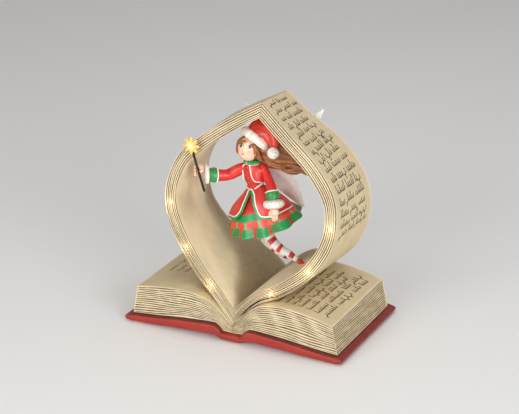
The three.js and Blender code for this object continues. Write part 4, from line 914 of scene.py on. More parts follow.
@dataclass
class Cover:
    """Boards and spine as one bent sheet with rounded edges and a step beside the spine."""

    bevel: float = 2.0
    nose: float = 2.2
    board_from: float = 90.0

    @staticmethod
    def mirrored(row: Array, sign: int, first: int, last: Optional[int]) -> Array:
        """A row run on by its own mirror image, without the points that would be there twice."""
        return np.concatenate([row, sign * row[::-1][first:last]])

    def shape(self) -> Shape:
        """The cover as rings of its section, one after another from front to back.

        The section runs out along the upper face and back along the lower one. Near the front
        and back ends it draws in by the bevel, by a quarter circle.

        Returns:
            The closed shape.
        """
        share = np.concatenate([np.linspace(0, 0.3, 46), np.linspace(0.3, 1, 44)[1:]])
        faces = [np.interp(share, COVER_SHARES[:, 0], COVER_SHARES[:, k]) for k in (1, 2)]
        top, under = (np.convolve(np.pad(z, 1, "edge"), np.ones(3) / 3, "valid") for z in faces)
        middle, half = (top + under) / 2 * BOOK.cover_rise, (top - under) / 2 * BOOK.cover_rise
        across = share * (BOOK.cover_half - self.nose)
        turn = np.linspace(np.pi / 2, -np.pi / 2, 13)[1:-1]
        nose_x = across[-1] + self.nose * np.cos(turn)
        nose_z = middle[-1] + half[-1] * np.sin(turn)
        x = np.concatenate([across, nose_x, across[::-1]])
        z = np.concatenate([middle + half, nose_z, (middle - half)[::-1]])
        centre = np.concatenate([middle, np.full(len(turn), middle[-1]), middle[::-1]])
        x = self.mirrored(x, -1, 1, -1)
        z, centre = (self.mirrored(row, 1, 1, -1) for row in (z, centre))
        front = -BOOK.cover_depth / 2
        curl = np.linspace(0, 1, 8)
        y = np.concatenate([front + self.bevel * curl, np.linspace(front + self.bevel, 0, 71)[1:]])
        y = self.mirrored(y, -1, 1, None)
        inset = np.concatenate([1 - np.sqrt(1 - (1 - curl) ** 2), np.zeros(70)])
        inset = self.mirrored(inset, 1, 1, None)[:, None] * self.bevel
        yy, xx = np.meshgrid(y, x, indexing="ij")
        off = np.abs(z - centre) * 0.85
        zz = z - np.sign(z - centre) * np.minimum(inset, off)
        xx = xx - np.sign(xx) * np.minimum(inset, np.abs(xx)) * (np.abs(xx) > self.board_from)
        zz = zz + BOOK.cover_lift + 0.12 * wander(3, xx / 30, yy / 30)
        points = np.stack([xx, yy, zz], -1)
        made = Shape.sheet(points, self.tone(points), (False, True))
        ring = np.arange(len(x))
        made.faces += [ring[None, ::-1], ring[None] + (len(y) - 1) * len(x)]
        return made

    def tone(self, points: Array) -> dict[str, Array]:
        """Brick red, mottled, darker on the upper face and beside the spine, with painted shade on
        the right fore edge.
        """
        x, y, z = axes(points)
        upper = ease(z - cover_top(x) + 1.0, 0, 1)
        # Painted shade on the right fore edge alone, the side turned from the light.
        outer = ease(np.abs(x), 105, 109.5) * ease(x, -10, 20)
        spine = bell(np.abs(x), 9.5, 2.5)
        mottle = 0.5 + 0.5 * wander(13, x / 22, y / 22, z / 9)
        spots = ease(wander(14, x / 5, y / 5, z / 4), 0.25, 0.7)
        wash = (0.85 - 0.75 * bell(x, 0, 12)) * upper + 0.4 * outer + 0.3 * spine
        wash = wash + (0.2 * mottle + 0.14 * spots) * (1 - upper)
        paint = coat(Hue.BRICK, Hue.RED_LIGHT, 0.2 * mottle)
        return {"paint": paint, "wash": np.clip(wash, 0, 0.94)}


@dataclass
class Writing:
    """Rows of loose pen strokes over a page. They are plain scribble, with no letters."""

    seed: int
    rows: Sequence[float]
    margin: tuple[float, float]
    slant: float
    height: float = 4.8
    pen: float = 0.48
    words: int = 3
    pitch: float = 3.3
    growth: float = 1.1

    def shape(self, page: Relief, lift: Relief, length: float) -> Shape:
        """All the strokes as thin raised ribbons.

        Each word runs on along its row in humps: half of one minus a cosine, low for most, and
        tall or hanging for some. The ribbon thins at both ends.

        Args:
            page: point of the page for shares along and across it.
            lift: the page's outward normal there.
            length: the page's length along the sheets, in millimetres.

        Returns:
            The closed ribbons.
        """
        dice = np.random.default_rng(self.seed)
        lines, steps = len(self.rows), 140
        count = lines * self.words
        parts = dice.uniform(0.6, 1.4, (lines, self.words))
        parts = parts / parts.sum(1, keepdims=True)
        reach = (self.margin[1] - self.margin[0]) * dice.uniform(0.84, 1.0, (lines, 1))
        run = (reach * parts * 0.9).reshape(-1, 1)
        start = (self.margin[0] + reach * (np.cumsum(parts, 1) - parts)).reshape(-1, 1)
        base = np.repeat(np.array(self.rows), self.words)[:, None]
        base = base + dice.normal(0, 0.05, (count, 1)) * self.height / length
        width = np.linalg.norm(page(base, start + run) - page(base, start), axis=-1)
        beats = np.maximum(np.round(width / self.pitch), 2)
        t = np.linspace(0, 1, steps)[None, :]
        hump = np.minimum(np.floor(beats * t), beats - 1).astype(int)
        kind = dice.uniform(0, 1, (count, int(beats.max())))
        size = np.where(kind < 0.2, 1.0, np.where(kind > 0.9, -0.5, 0.3 + 0.35 * kind))
        tall = self.height * np.repeat(np.linspace(0.75, self.growth, lines), self.words)[:, None]
        up = tall * np.take_along_axis(size, hump, 1) * (0.5 - 0.5 * np.cos(2 * np.pi * beats * t))
        on = start + run * t + 0.25 * run / beats * np.sin(2 * np.pi * beats * t)
        along = base - up / length + self.slant * (on - 0.5)
        centre = page(along, on)
        normal = lift(along, on)
        ahead = np.gradient(centre, axis=1)
        side = unit(np.cross(normal, ahead))
        press = 0.62 + 0.38 * np.abs(np.cos(2 * np.pi * beats * t + 0.6))
        taper = np.sqrt(np.clip(np.minimum(t, 1 - t) * 14, 0.02, 1))
        wide = (self.pen * press * taper)[..., None]
        section = np.array([[1, -0.02], [0.45, 0.09], [-0.45, 0.09], [-1, -0.02]])[..., None]
        centre, side, normal = (grid[:, :, None, :] for grid in (centre, side, normal))
        rings = centre + side * wide[..., None] * section[:, 0] + normal * section[:, 1]
        return Shape.join([Shape.tube(ring, {"paint": Hue.INK, "wash": 0.0}) for ring in rings])


def page_face(pile: Pile, through: float) -> tuple[Relief, Relief]:
    """A pile's first or last sheet, and its outward normal, as functions of two shares."""

    def page(along: Array, across: Array) -> Array:
        """Point of the sheet."""
        return pile.at(along, np.full_like(along, through), across)

    def lift(along: Array, across: Array) -> Array:
        """Cross product of the two ways over the sheet, turned away from the pile."""
        ahead = page(along + 0.002, across) - page(along - 0.002, across)
        over = page(along, across + 0.002) - page(along, across - 0.002)
        normal = unit(np.cross(ahead, over))
        within = np.full_like(along, abs(through - 0.1))
        inner = pile.at(along, within, across) - page(along, across)
        return normal * -np.sign(np.sum(normal * inner, -1, keepdims=True))

    return page, lift


def cut_box(piece: bpy.types.Object, low: Sequence[float], high: Sequence[float]) -> None:
    """Take a box, given in metres, out of a piece, and paint the points that the cut makes."""
    work = bmesh.new()
    bmesh.ops.create_cube(work, size=1.0)
    size, middle = np.subtract(high, low), np.add(high, low) / 2
    for vert in work.verts:
        vert.co = [vert.co[k] * size[k] + middle[k] for k in range(3)]
    mesh = bpy.data.meshes.new("pocket")
    work.to_mesh(mesh)
    work.free()
    cutter = placed("pocket", mesh)
    step = piece.modifiers.new("pocket", "BOOLEAN")
    step.operation, step.solver, step.object = "DIFFERENCE", "EXACT", cutter
    bpy.context.view_layer.update()
    graph = bpy.context.evaluated_depsgraph_get()
    made = bpy.data.meshes.new_from_object(piece.evaluated_get(graph))
    piece.modifiers.clear()
    material = piece.data.materials[0]
    piece.data = made
    made.materials.clear()
    made.materials.append(material)
    bpy.data.objects.remove(cutter)
    paint, wash = made.attributes["paint"].data, made.attributes["wash"].data
    colours = np.empty(4 * len(paint), np.float32)
    paint.foreach_get("color", colours)
    for k in np.flatnonzero(colours.reshape(-1, 4).min(1) == 1.0):
        paint[k].color, wash[k].value = rgba(Hue.BRICK_DARK.linear), 0.5
    made.set_sharp_from_angle(angle=np.radians(50))


class BookPieces:
    """The cover, page blocks, curled bands, loose sheets and the writing on them."""

    pocket_floor: float = -0.01

    def __init__(self, finishes: Finishes) -> None:
        """Keep the finishes."""
        self.finishes = finishes

    def make(self) -> None:
        """Build each piece of the book."""
        low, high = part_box("battery_box")
        pad = BOOK.gap * MM
        pocket = ([low[0] - pad, low[1] - pad, self.pocket_floor], [edge + pad for edge in high])
        cover, paper = self.finishes.cover, self.finishes.pages
        boards = build("book_cover", Cover().shape(), cover, ["cover"], crease=55)
        cut_box(boards, *pocket)
        for side, name in SIDE_NAMES.items():
            block = PageBlock(side=side, seed=21 + side)
            band = PageBand(side=side, seed=5 + side)
            leaf = PageBand(side=side, seed=9 + side, sheets=1, groove_mm=0.0, leaf_only=True)
            pages = build(f"{name}_pages", block.shape(150, 118, 44), paper,
                          [f"{name}_page_block"], crease=60)
            if side > 0:
                cut_box(pages, *pocket)
            build(f"{name}_curl", band.shape(240, 74, 34), paper,
                  [f"{name}_page_band"], crease=60)
            build(f"{name}_leaf", leaf.shape(120, 7, 34), paper,
                  [f"{name}_loose_leaf"], crease=60)
            self.write(block, band, side, name)

    def write(self, block: PageBlock, band: PageBand, side: int, name: str) -> None:
        """Scribble over the outer pages of one side."""
        if side > 0:
            rows = (0.019, 0.042, 0.067, 0.093, 0.119, 0.145, 0.171, 0.2, 0.228, 0.26, 0.296,
                    0.335, 0.375, 0.415, 0.455)
            hand = Writing(31, rows, (0.12, 0.94), 0.006, height=5.4, pen=0.6, growth=1.9)
            rows = hand.shape(*page_face(band, 0.0), 330.0)
            build("right_curl_writing", rows, self.finishes.ink)
            hand = Writing(32, np.linspace(0.42, 0.9, 7), (0.10, 0.94), 0.04, words=4, pen=0.58)
        else:
            hand = Writing(33, np.linspace(0.86, 0.5, 5), (0.34, 0.92), -0.04, height=-4.4)
        rows = hand.shape(*page_face(block, 0.0), BOOK.block_half)
        build(f"{name}_page_writing", rows, self.finishes.ink)


# Doll

DOLL = 0.5192 * BOOK.rise
WAIST = np.array([-0.1491 * BOOK.loop_half, BOOK.front + 74.8, BOOK.valley + 0.5452 * BOOK.rise])


def shares(rows: Sequence[Sequence[float]]) -> Array:
    """A table given in thousandths of the doll's size."""
    return np.array(rows) / 1000


def on_doll(x: float, y: float, z: float) -> Array:
    """A place on the doll from its shares of her size."""
    return WAIST + np.array([x, y, z]) * DOLL


class Round:
    """A closed round form: a point for a share of its length and a turn round it."""

    def __init__(self, swell: Optional[Relief], soft: float) -> None:
        """Keep the swell in millimetres and the share over which the ends round off."""
        self.swell, self.soft = swell, soft

    def at(self, share: Array, turn: Array, out: float = 0.0) -> Array:
        """The point at a share and a turn in radians, moved out by some millimetres."""
        raise NotImplementedError

    def growth(self, share: Array, turn: Array) -> tuple[Array, Array]:
        """How the radius shrinks to the ends, as a quarter circle, and what the swell adds."""
        end = np.clip(np.minimum(share, 1 - share) / max(self.soft, 1e-6), 0, 1)
        shrink = np.sqrt(np.clip(1 - (1 - end) ** 2, 0, 1)) if self.soft else 1.0
        return shrink, self.swell(share, turn) if self.swell else 0.0

    def shape(self, rows: int, columns: int, tone: Tone, turns: Optional[Array] = None) -> Shape:
        """The form as rings that crowd to its ends, with the tone function's paint and wash."""
        even = np.linspace(0, 1, rows)
        share = 0.5 * even + 0.5 * (0.5 - 0.5 * np.cos(np.pi * even))
        turns = circle(columns) if turns is None else turns
        share, turn = np.meshgrid(share, turns, indexing="ij")
        points = self.at(share, turn)
        return Shape.tube(points, tone(share, turn, points))

    def line(self, stops: Sequence[Sequence[float]], out: float, steps: int = 60) -> Array:
        """A smooth line over the form through stops of share and turn in degrees."""
        path = Spline([[s, t / 60, 0] for s, t in stops]).at(np.linspace(0, 1, steps))
        return self.at(path[:, 0], np.radians(path[:, 1] * 60), out)


class Rings(Round):
    """A body of level rings from a table of centre, half width, half depth and two rises."""

    def __init__(self, table: Array, swell: Optional[Relief] = None, soft: float = 0.0) -> None:
        """Keep the table as a spline, with a swell in millimetres and rounded ends."""
        super().__init__(swell, soft)
        self.spline = Spline(table)

    def at(self, share: Array, turn: Array, out: float = 0.0) -> Array:
        """Centre plus the half sizes times cosine and sine of the turn, tipped by the rises."""
        row = self.spline.at(share)
        shrink, more = self.growth(share, turn)
        dx = (row[..., 3] * DOLL * shrink + out + more) * np.cos(turn)
        dy = (row[..., 4] * DOLL * shrink + out + more) * np.sin(turn)
        centre = row[..., :3] * DOLL + WAIST
        z = centre[..., 2] + row[..., 5] * dx + row[..., 6] * dy
        return np.stack([centre[..., 0] + dx, centre[..., 1] + dy, z], -1)


class Limb(Round):
    """A limb of round rings along a curve, from a table of places and radii."""

    def __init__(self, table: Sequence[Sequence[float]], swell: Optional[Relief] = None,
                 flat: float = 1.0, soft: float = 0.06) -> None:
        """Keep the table as a spline, with a swell in millimetres and rounded ends."""
        super().__init__(swell, soft)
        rows = np.array(table, float)
        rows[:, :3] = rows[:, :3] * DOLL + WAIST
        rows[:, 3] *= DOLL
        self.spline, self.flat = Spline(rows), flat

    def at(self, share: Array, turn: Array, out: float = 0.0) -> Array:
        """The curve's point plus the radius round the two ways square to it."""
        row, way = self.spline.at(share), self.spline.way(share)
        side = unit(np.array([0.0, 1.0, 0.0]) - way * way[..., 1:2])
        up = np.cross(way, side)
        shrink, more = self.growth(share, turn)
        radius = row[..., 3] * shrink + (out + more)
        c, s = np.cos(turn) * self.flat * radius, np.sin(turn) * radius
        return row[..., :3] + side * c[..., None] + up * s[..., None]


def bead(path: Array, radius: float, closed: bool = False) -> Shape:
    """A round bead of white paint along a path in millimetres.

    Args:
        path: points along it.
        radius: its half thickness.
        closed: True joins the last point to the first; else it thins to both ends.

    Returns:
        The closed shape.
    """
    t = np.linspace(0, 1, len(path))
    way, thin = np.gradient(path, axis=0), np.sqrt(np.clip(np.minimum(t, 1 - t) * 20, 0.03, 1))
    if closed:
        way, thin = np.roll(path, -1, 0) - np.roll(path, 1, 0), np.ones(len(path))
    way = unit(way)
    side = unit(np.cross(way, unit(path - path.mean(0) + 1e-6)))
    up = np.cross(side, way)
    turn = circle(10)[:, None]
    ring = side[:, None] * np.cos(turn) + up[:, None] * np.sin(turn)
    points = path[:, None] + ring * (radius * thin)[:, None, None]
    wash = 0.1 * (0.5 + 0.5 * wander(4, t * 9))[:, None]
    values = {"paint": Hue.WHITE, "wash": wash}
    return Shape.sheet(points, values, (True, True)) if closed else Shape.tube(points, values)


def plain(hue: Hue, wash: float = 0.0) -> Tone:
    """A tone of one paint, a little unevenly washed."""

    def tone(share: Array, turn: Array, points: Array) -> dict[str, Array]:
        """Paint and wash at each point."""
        return {"paint": hue, "wash": wash * (0.5 + 0.5 * wander(17, *axes(points, 7)))}

    return tone


HEAD = shares([
    [-62, -15, 262, 30, 30, 0, 0], [-66, -18, 282, 62, 62, 0, 0], [-69, -12, 310, 86, 88, 0, 0],
    [-70, -6, 345, 96, 100, 0, 0], [-70, 0, 385, 99, 105, 0, 0], [-67, 4, 425, 94, 100, 0, 0],
    [-62, 6, 460, 74, 80, 0, 0], [-58, 6, 482, 35, 40, 0, 0]])
COLLAR = shares([
    [-36, 0, 232, 74, 70, 50, 0], [-38, 0, 244, 82, 76, 50, 0], [-42, 0, 258, 80, 74, 50, 0],
    [-44, 0, 270, 66, 62, 50, 0]])
JACKET = shares([
    [-2, 0, 4, 88, 72, 160, 0], [-6, 0, 30, 84, 70, 120, 0], [-18, -6, 90, 100, 82, 0, 0],
    [-26, -4, 150, 108, 84, 0, 0], [-30, 0, 195, 112, 78, 0, 0], [-34, 0, 222, 86, 70, 0, 0],
    [-36, 0, 238, 62, 60, 0, 0]])
OVERSKIRT = shares([
    [0, 0, 12, 82, 70, 160, 0], [4, 0, -30, 125, 108, 240, 0], [8, 6, -80, 185, 155, 270, 0],
    [12, 16, -140, 245, 200, 270, 10], [22, 28, -200, 285, 242, 250, 30],
    [30, 34, -246, 308, 268, 225, 47]])
UNDERSKIRT = shares([
    [10, 10, -100, 160, 130, 330, 0], [12, 20, -170, 235, 190, 340, 20],
    [34, 32, -243, 285, 240, 300, 110], [54, 42, -292, 320, 270, 270, 180],
    [71, 45, -336, 345, 300, 240, 225], [66, 45, -326, 310, 265, 240, 225],
    [55, 40, -260, 240, 190, 280, 140]])
LINING = shares([
    [2, 0, -20, 90, 78, 300, 0], [6, 4, -60, 125, 100, 320, 0], [10, 10, -110, 155, 125, 330, 0]])
WAND_SLEEVE = shares([
    [-85, -10, 192, 42], [-130, -25, 175, 52], [-190, -50, 138, 54], [-250, -95, 115, 53],
    [-315, -150, 119, 54], [-335, -166, 123, 50]])
WAND_CUFF = shares([
    [-318, -152, 120, 62], [-335, -166, 123, 68], [-358, -180, 127, 68], [-372, -188, 130, 62],
    [-388, -197, 134, 60]])
WAND_FUR = [
    [-0.3778, -0.1901, 0.1353, 0.074], [-0.3879, -0.1966, 0.1356, 0.086],
    [-0.398, -0.203, 0.136, 0.09], [-0.4081, -0.2094, 0.1364, 0.086],
    [-0.4182, -0.2159, 0.1367, 0.07]]
LOW_SLEEVE = shares([
    [30, 20, 212, 30], [70, 12, 190, 38], [100, -2, 160, 40], [130, -22, 125, 41],
    [168, -48, 83, 45], [205, -88, 35, 50], [213, -97, 18, 48]])
LOW_CUFF = shares([
    [207, -90, 32, 56], [216, -100, 12, 62], [226, -112, -14, 62], [230, -118, -28, 56],
    [236, -121, -42, 54]])
LOW_FUR = [
    [0.237, -0.121, -0.031, 0.07], [0.2408, -0.125, -0.05, 0.088], [0.244, -0.129, -0.072, 0.095],
    [0.2472, -0.133, -0.0935, 0.092], [0.252, -0.138, -0.122, 0.08]]
FRONT_LEG = shares([
    [70, 20, -240, 50], [120, 10, -468, 54], [225, 0, -570, 50], [330, 0, -608, 41],
    [425, 0, -648, 23]])
FRONT_SHOE = shares([
    [428, 0, -650, 25], [443, 0, -657, 28], [463, 0, -665, 22], [480, 0, -672, 13],
    [494, 0, -678, 5]])
BACK_LEG = shares([
    [0, 90, -240, 46], [22, 80, -490, 45], [100, 70, -572, 39], [195, 60, -612, 32],
    [262, 60, -645, 25]])
BACK_SHOE = shares([
    [258, 60, -651, 27], [269, 60, -657, 29], [284, 60, -665, 23], [298, 60, -672, 13],
    [308, 60, -677, 5]])
HAT = shares([
    [-34, 34, 445, 108], [-14, 64, 488, 112], [15, 88, 540, 100], [70, 85, 580, 86],
    [130, 60, 568, 72], [175, 20, 530, 60], [198, -20, 475, 48], [203, -52, 442, 32]])
HAT_FOLD = shares([
    [-10, 50, 450, 90], [50, 62, 500, 100], [115, 45, 500, 85], [165, 10, 465, 55],
    [185, -10, 430, 20]])
HAT_AXIS = (0.42, 0.5, 0.75)
BRIM = (-0.018, 0.046, 0.453, 0.126, 0.031)
HAIR_TAIL = shares([
    [-30, 60, 380, 100], [50, 70, 370, 150], [130, 80, 365, 180], [210, 90, 335, 168],
    [300, 105, 305, 115], [390, 120, 280, 70], [470, 135, 250, 33], [510, 140, 235, 10]])


def away(turn: Array, middle: float) -> Array:
    """A turn in radians measured from a direction in degrees, from -180 to 180."""
    return (np.degrees(turn) - middle + 180) % 360 - 180


class Face:
    """The doll's head with a painted face, looking forward and a little down to her left."""

    eye_height: float = 0.42

    def __init__(self) -> None:
        """Lay out the head with its nose, lips and chin."""
        self.form = Rings(HEAD, self.relief, soft=0.05)

    def spots(self, share: Array, turn: Array) -> tuple[Array, Array]:
        """Distances over the face from between the eyes, to her left side and up."""
        row = Spline(HEAD).at(share)
        up = (row[..., 2] - self.eye_height) * DOLL
        ahead = np.radians(-88.0 + 0.9 * up)
        swing = (turn - ahead + np.pi) % (2 * np.pi) - np.pi
        return swing * row[..., 3] * DOLL, up

    def relief(self, share: Array, turn: Array) -> Array:
        """Height of the nose, cheeks, lips and chin, and depth of the eyes, in millimetres."""
        x, z = self.spots(share, turn)
        nose = 1.35 * bell(x, 0, 0.95) * bell(z, -4.4, 1.2)
        nose = nose + 0.4 * bell(x, 0, 0.8) * bell(z, -2.2, 2)
        lips = 0.45 * bell(x, 0, 1.3) * bell(z, -7.1, 0.55)
        chin = 0.5 * bell(x, 0, 2.2) * bell(z, -10.4, 1.5)
        cheek = 0.45 * bell(np.abs(x), 4.6, 2.2) * bell(z, -5.4, 2.4)
        eyes = -0.5 * bell(np.abs(x - 0.75), 4.5, 1.9) * bell(z, 0, 1.3)
        return nose + lips + chin + cheek + eyes

    def tone(self, share: Array, turn: Array, points: Array) -> dict[str, Array]:
        """Skin, blush, eyes with lashes, brows and lips, each brushed over the last."""
        x, z = self.spots(share, turn)
        x = x - 0.75 * ease(z, -5.5, -1.5)
        side = np.abs(x)
        look = side - 4.8 + 0.3 * np.sign(x)
        layers = [
            (Hue.BLUSH, 0.5 * bell(side, 5.4, 2.3) * bell(z, -4.9, 1.7)),
            (Hue.BLUSH, 0.25 * bell(x, 0, 1.0) * bell(z, -4.7, 0.8)),
        ]
        lid = ease(1.16 - np.hypot((side - 4.8) / 2.5, (z - 0.25) / 2.0), 0, 0.12)
        white = ease(1.0 - np.hypot((side - 4.8) / 2.25, z / 1.65), 0, 0.12)
        iris = np.hypot(look, z)
        glint = np.hypot(look - 0.35, z - 0.45)
        brow = bell(z, 3.2 - 0.09 * (side - 4.8) ** 2, 0.28)
        brow = brow * ease(side, 1.7, 2.3) * ease(7.2 - side, 0, 0.7)
        mouth = np.hypot(x / 1.8, (z + 7.1 - 0.2 * bell(side, 0.55, 0.35) * (z > -7.1)) / 0.66)
        layers += [
            (Hue.LASH, 0.85 * lid * ease(z, -0.5, 0.9)),
            (Hue.HAIR, 0.35 * lid * ease(-z, 0.1, 1.2)),
            (Hue.WHITE, white),
            (Hue.LASH, white * ease(1.55 - iris, 0, 0.1)),
            (Hue.IRIS, white * ease(1.32 - iris, 0, 0.1)),
            (Hue.BLACK, white * ease(0.72 - iris, 0, 0.1)),
            (Hue.WHITE, white * ease(0.3 - glint, 0, 0.08)),
            (Hue.HAIR, 0.7 * brow),
            (Hue.LIP, 0.85 * ease(1.0 - mouth, 0, 0.2)),
            (Hue.LASH, 0.5 * bell(z, -7.1 + 0.05 * side, 0.13) * ease(1.6 - side, 0, 0.3)),
        ]
        colour = Hue.SKIN
        for hue, cover in layers:
            colour = coat(colour, hue, cover)
        return {"paint": colour, "wash": 0.12 * bell(z, -10.9, 1.6) + 0.1 * ease(side, 7, 11)}

    def make(self, finishes: Finishes) -> None:
        """Build the head with its points crowded over the face."""
        even = np.linspace(-1, 1, 300, endpoint=False)
        turns = np.radians(-90) + np.pi * (0.36 * even + 0.64 * even**3)
        shape = self.form.shape(190, 300, self.tone, turns)
        build("doll_head", shape, finishes.skin, ["head"])


class Hair:
    """Brown hair: a fringe and locks that frame the face, and a tail that flies out behind."""

    over_head: float = 0.012

    def __init__(self, face: Face) -> None:
        """Keep the face, whose distances place the fringe."""
        self.face = face

    def locks(self, seed: int, number: float, twist: float) -> Relief:
        """Ridges of strands, as the height of waves that turn round as they run on."""

        def ridges(share: Array, turn: Array) -> Array:
            """Height of the strands in millimetres."""
            stray = 0.9 * wander(seed, share * 2, np.cos(turn), np.sin(turn))
            wide = np.cos(number * turn + twist * share + stray)
            fine = np.cos(2.7 * number * turn + 2.2 * twist * share + seed + stray)
            return 0.55 * wide + 0.25 * fine

        return ridges

    def tone(self, ridges: Relief, seed: int) -> Tone:
        """Painted shade between the strands and painted orange-brown highlights along some of
        their tops.
        """

        def paint(share: Array, turn: Array, points: Array) -> dict[str, Array]:
            """Paint and wash at each point."""
            height = ridges(share, turn)
            streak = ease(wander(seed, share * 2.4, np.cos(turn), np.sin(turn)), -0.45, 0.5)
            # Painted highlight on the tops of some strands.
            light = ease(height, 0.0, 0.7) * streak
            colour = coat(Hue.HAIR, Hue.HAIR_LIGHT, 0.8 * light)
            return {"paint": colour, "wash": 0.62 * ease(-height, 0.1, 0.75)}

        return paint

    def cap(self) -> Shape:
        """The hair on the head: the head's own form, thickened outside the face's opening.

        The opening lies within three lines over the face: the fringe above, a parting from
        which the hair falls down her left cheek, and a thin edge on her right.
        """
        ridges = self.locks(61, 13, 2.0)
        rows = np.array(HEAD)
        rows[:, 3:5] += self.over_head
        rows[:2, 3:5] += self.over_head

        def swell(share: Array, turn: Array) -> Array:
            """Thick behind and at the sides, sunk below the skin over the face."""
            x, z = self.face.spots(share, turn)
            left = np.interp(z, [-14, -9, -2, 3, 7.5, 12], [10.5, 10.0, 8.2, 5.8, 2.2, 1.6])
            fringe = np.interp(x, [-9, -7, -5, -3, 1.8, 3], [1.5, 3.6, 6.4, 7.4, 8.8, 9.6])
            cover = np.maximum(ease(x - left, 0, 1.3), ease(z - fringe, 0, 1.1))
            cover = np.maximum(cover, ease(-9.6 - x, 0, 1.6))
            behind = ease(np.abs(away(turn, -88)), 86, 160)
            return -3.2 + cover * (3.7 + 1.0 * behind) + ridges(share, turn) * cover * 0.9

        form = Rings(rows, swell, soft=0.05)
        return form.shape(130, 300, self.tone(ridges, 62))

    def tail(self) -> Shape:
        """The flying tail, flattened, with strands that twist along it."""
        ridges = self.locks(63, 14, 4.5)

        def swell(share: Array, turn: Array) -> Array:
            """Strands, and long waves along the upper and lower edge."""
            wave = np.sin(2 * np.pi * (2.4 * share + 0.1))
            edge = np.sin(turn) * 0.9 * wave * ease(share, 0.1, 0.4)
            return (ridges(share, turn) * 1.15 + edge) * ease(1 - share, 0, 0.12) - 0.35

        form = Limb(HAIR_TAIL, swell, flat=0.5, soft=0.03)
        return form.shape(150, 220, self.tone(ridges, 64))

    def lock(self, table: Sequence[Sequence[float]], seed: int) -> Shape:
        """A single lock beside the face or at the end of the tail."""
        ridges = self.locks(seed, 5, 4.0)
        form = Limb(table, lambda share, turn: 0.5 * ridges(share, turn) * ease(1 - share, 0, 0.3),
                    flat=0.7, soft=0.05)
        return form.shape(60, 50, self.tone(ridges, seed + 1))

    def make(self, finishes: Finishes) -> None:
        """Build all the hair as one piece."""
        locks = [
            [[-140, -45, 450, 8], [-157, -42, 420, 11], [-163, -38, 380, 11],
             [-162, -34, 335, 8], [-154, -30, 300, 3]],
            [[0, -70, 440, 14], [18, -52, 400, 22], [30, -34, 350, 26], [40, -15, 300, 26],
             [62, 0, 262, 12]],
            [[-50, -94, 475, 8], [-80, -100, 466, 11], [-115, -90, 454, 11],
             [-140, -74, 432, 8], [-153, -58, 405, 3]],
            [[300, 70, 255, 20], [380, 80, 225, 26], [460, 100, 185, 20], [520, 110, 155, 6]],
            [[200, 60, 220, 18], [280, 70, 185, 26], [360, 85, 180, 22], [430, 100, 195, 6]],
            [[90, 10, 300, 16], [150, 20, 250, 24], [220, 35, 225, 22], [290, 50, 235, 6]],
        ]
        parts = [self.cap(), self.tail()]
        parts += [self.lock(shares(table), 70 + 3 * i) for i, table in enumerate(locks)]
        build("doll_hair", Shape.join(parts), finishes.hair, ["hair"])


def tufts(seed: int, depth: float, pitch: float) -> Relief:
    """Lumps of fur: unevenness of the given depth and pitch round a form."""

    def swell(share: Array, turn: Array) -> Array:
        """Height of the lumps in millimetres."""
        return depth * wander(seed, share * pitch, np.cos(turn) * pitch, np.sin(turn) * pitch)

    return swell


def fur_tone(share: Array, turn: Array, points: Array) -> dict[str, Array]:
    """Grey in patches, as thin paint pools in the hollows."""
    return {"paint": Hue.FUR, "wash": np.clip(0.12 + 0.35 * wander(19, *axes(points, 3)), 0, 1)}


def sphere(rows: int, columns: int) -> tuple[Array, Array, Array]:
    """Latitudes, longitudes and unit points of a ball."""
    rise = np.linspace(-np.pi / 2, np.pi / 2, rows)
    lat, lon = np.meshgrid(rise, circle(columns), indexing="ij")
    ball = [np.cos(lat) * np.cos(lon), np.cos(lat) * np.sin(lon), np.sin(lat)]
    return lat, lon, np.stack(ball, -1)


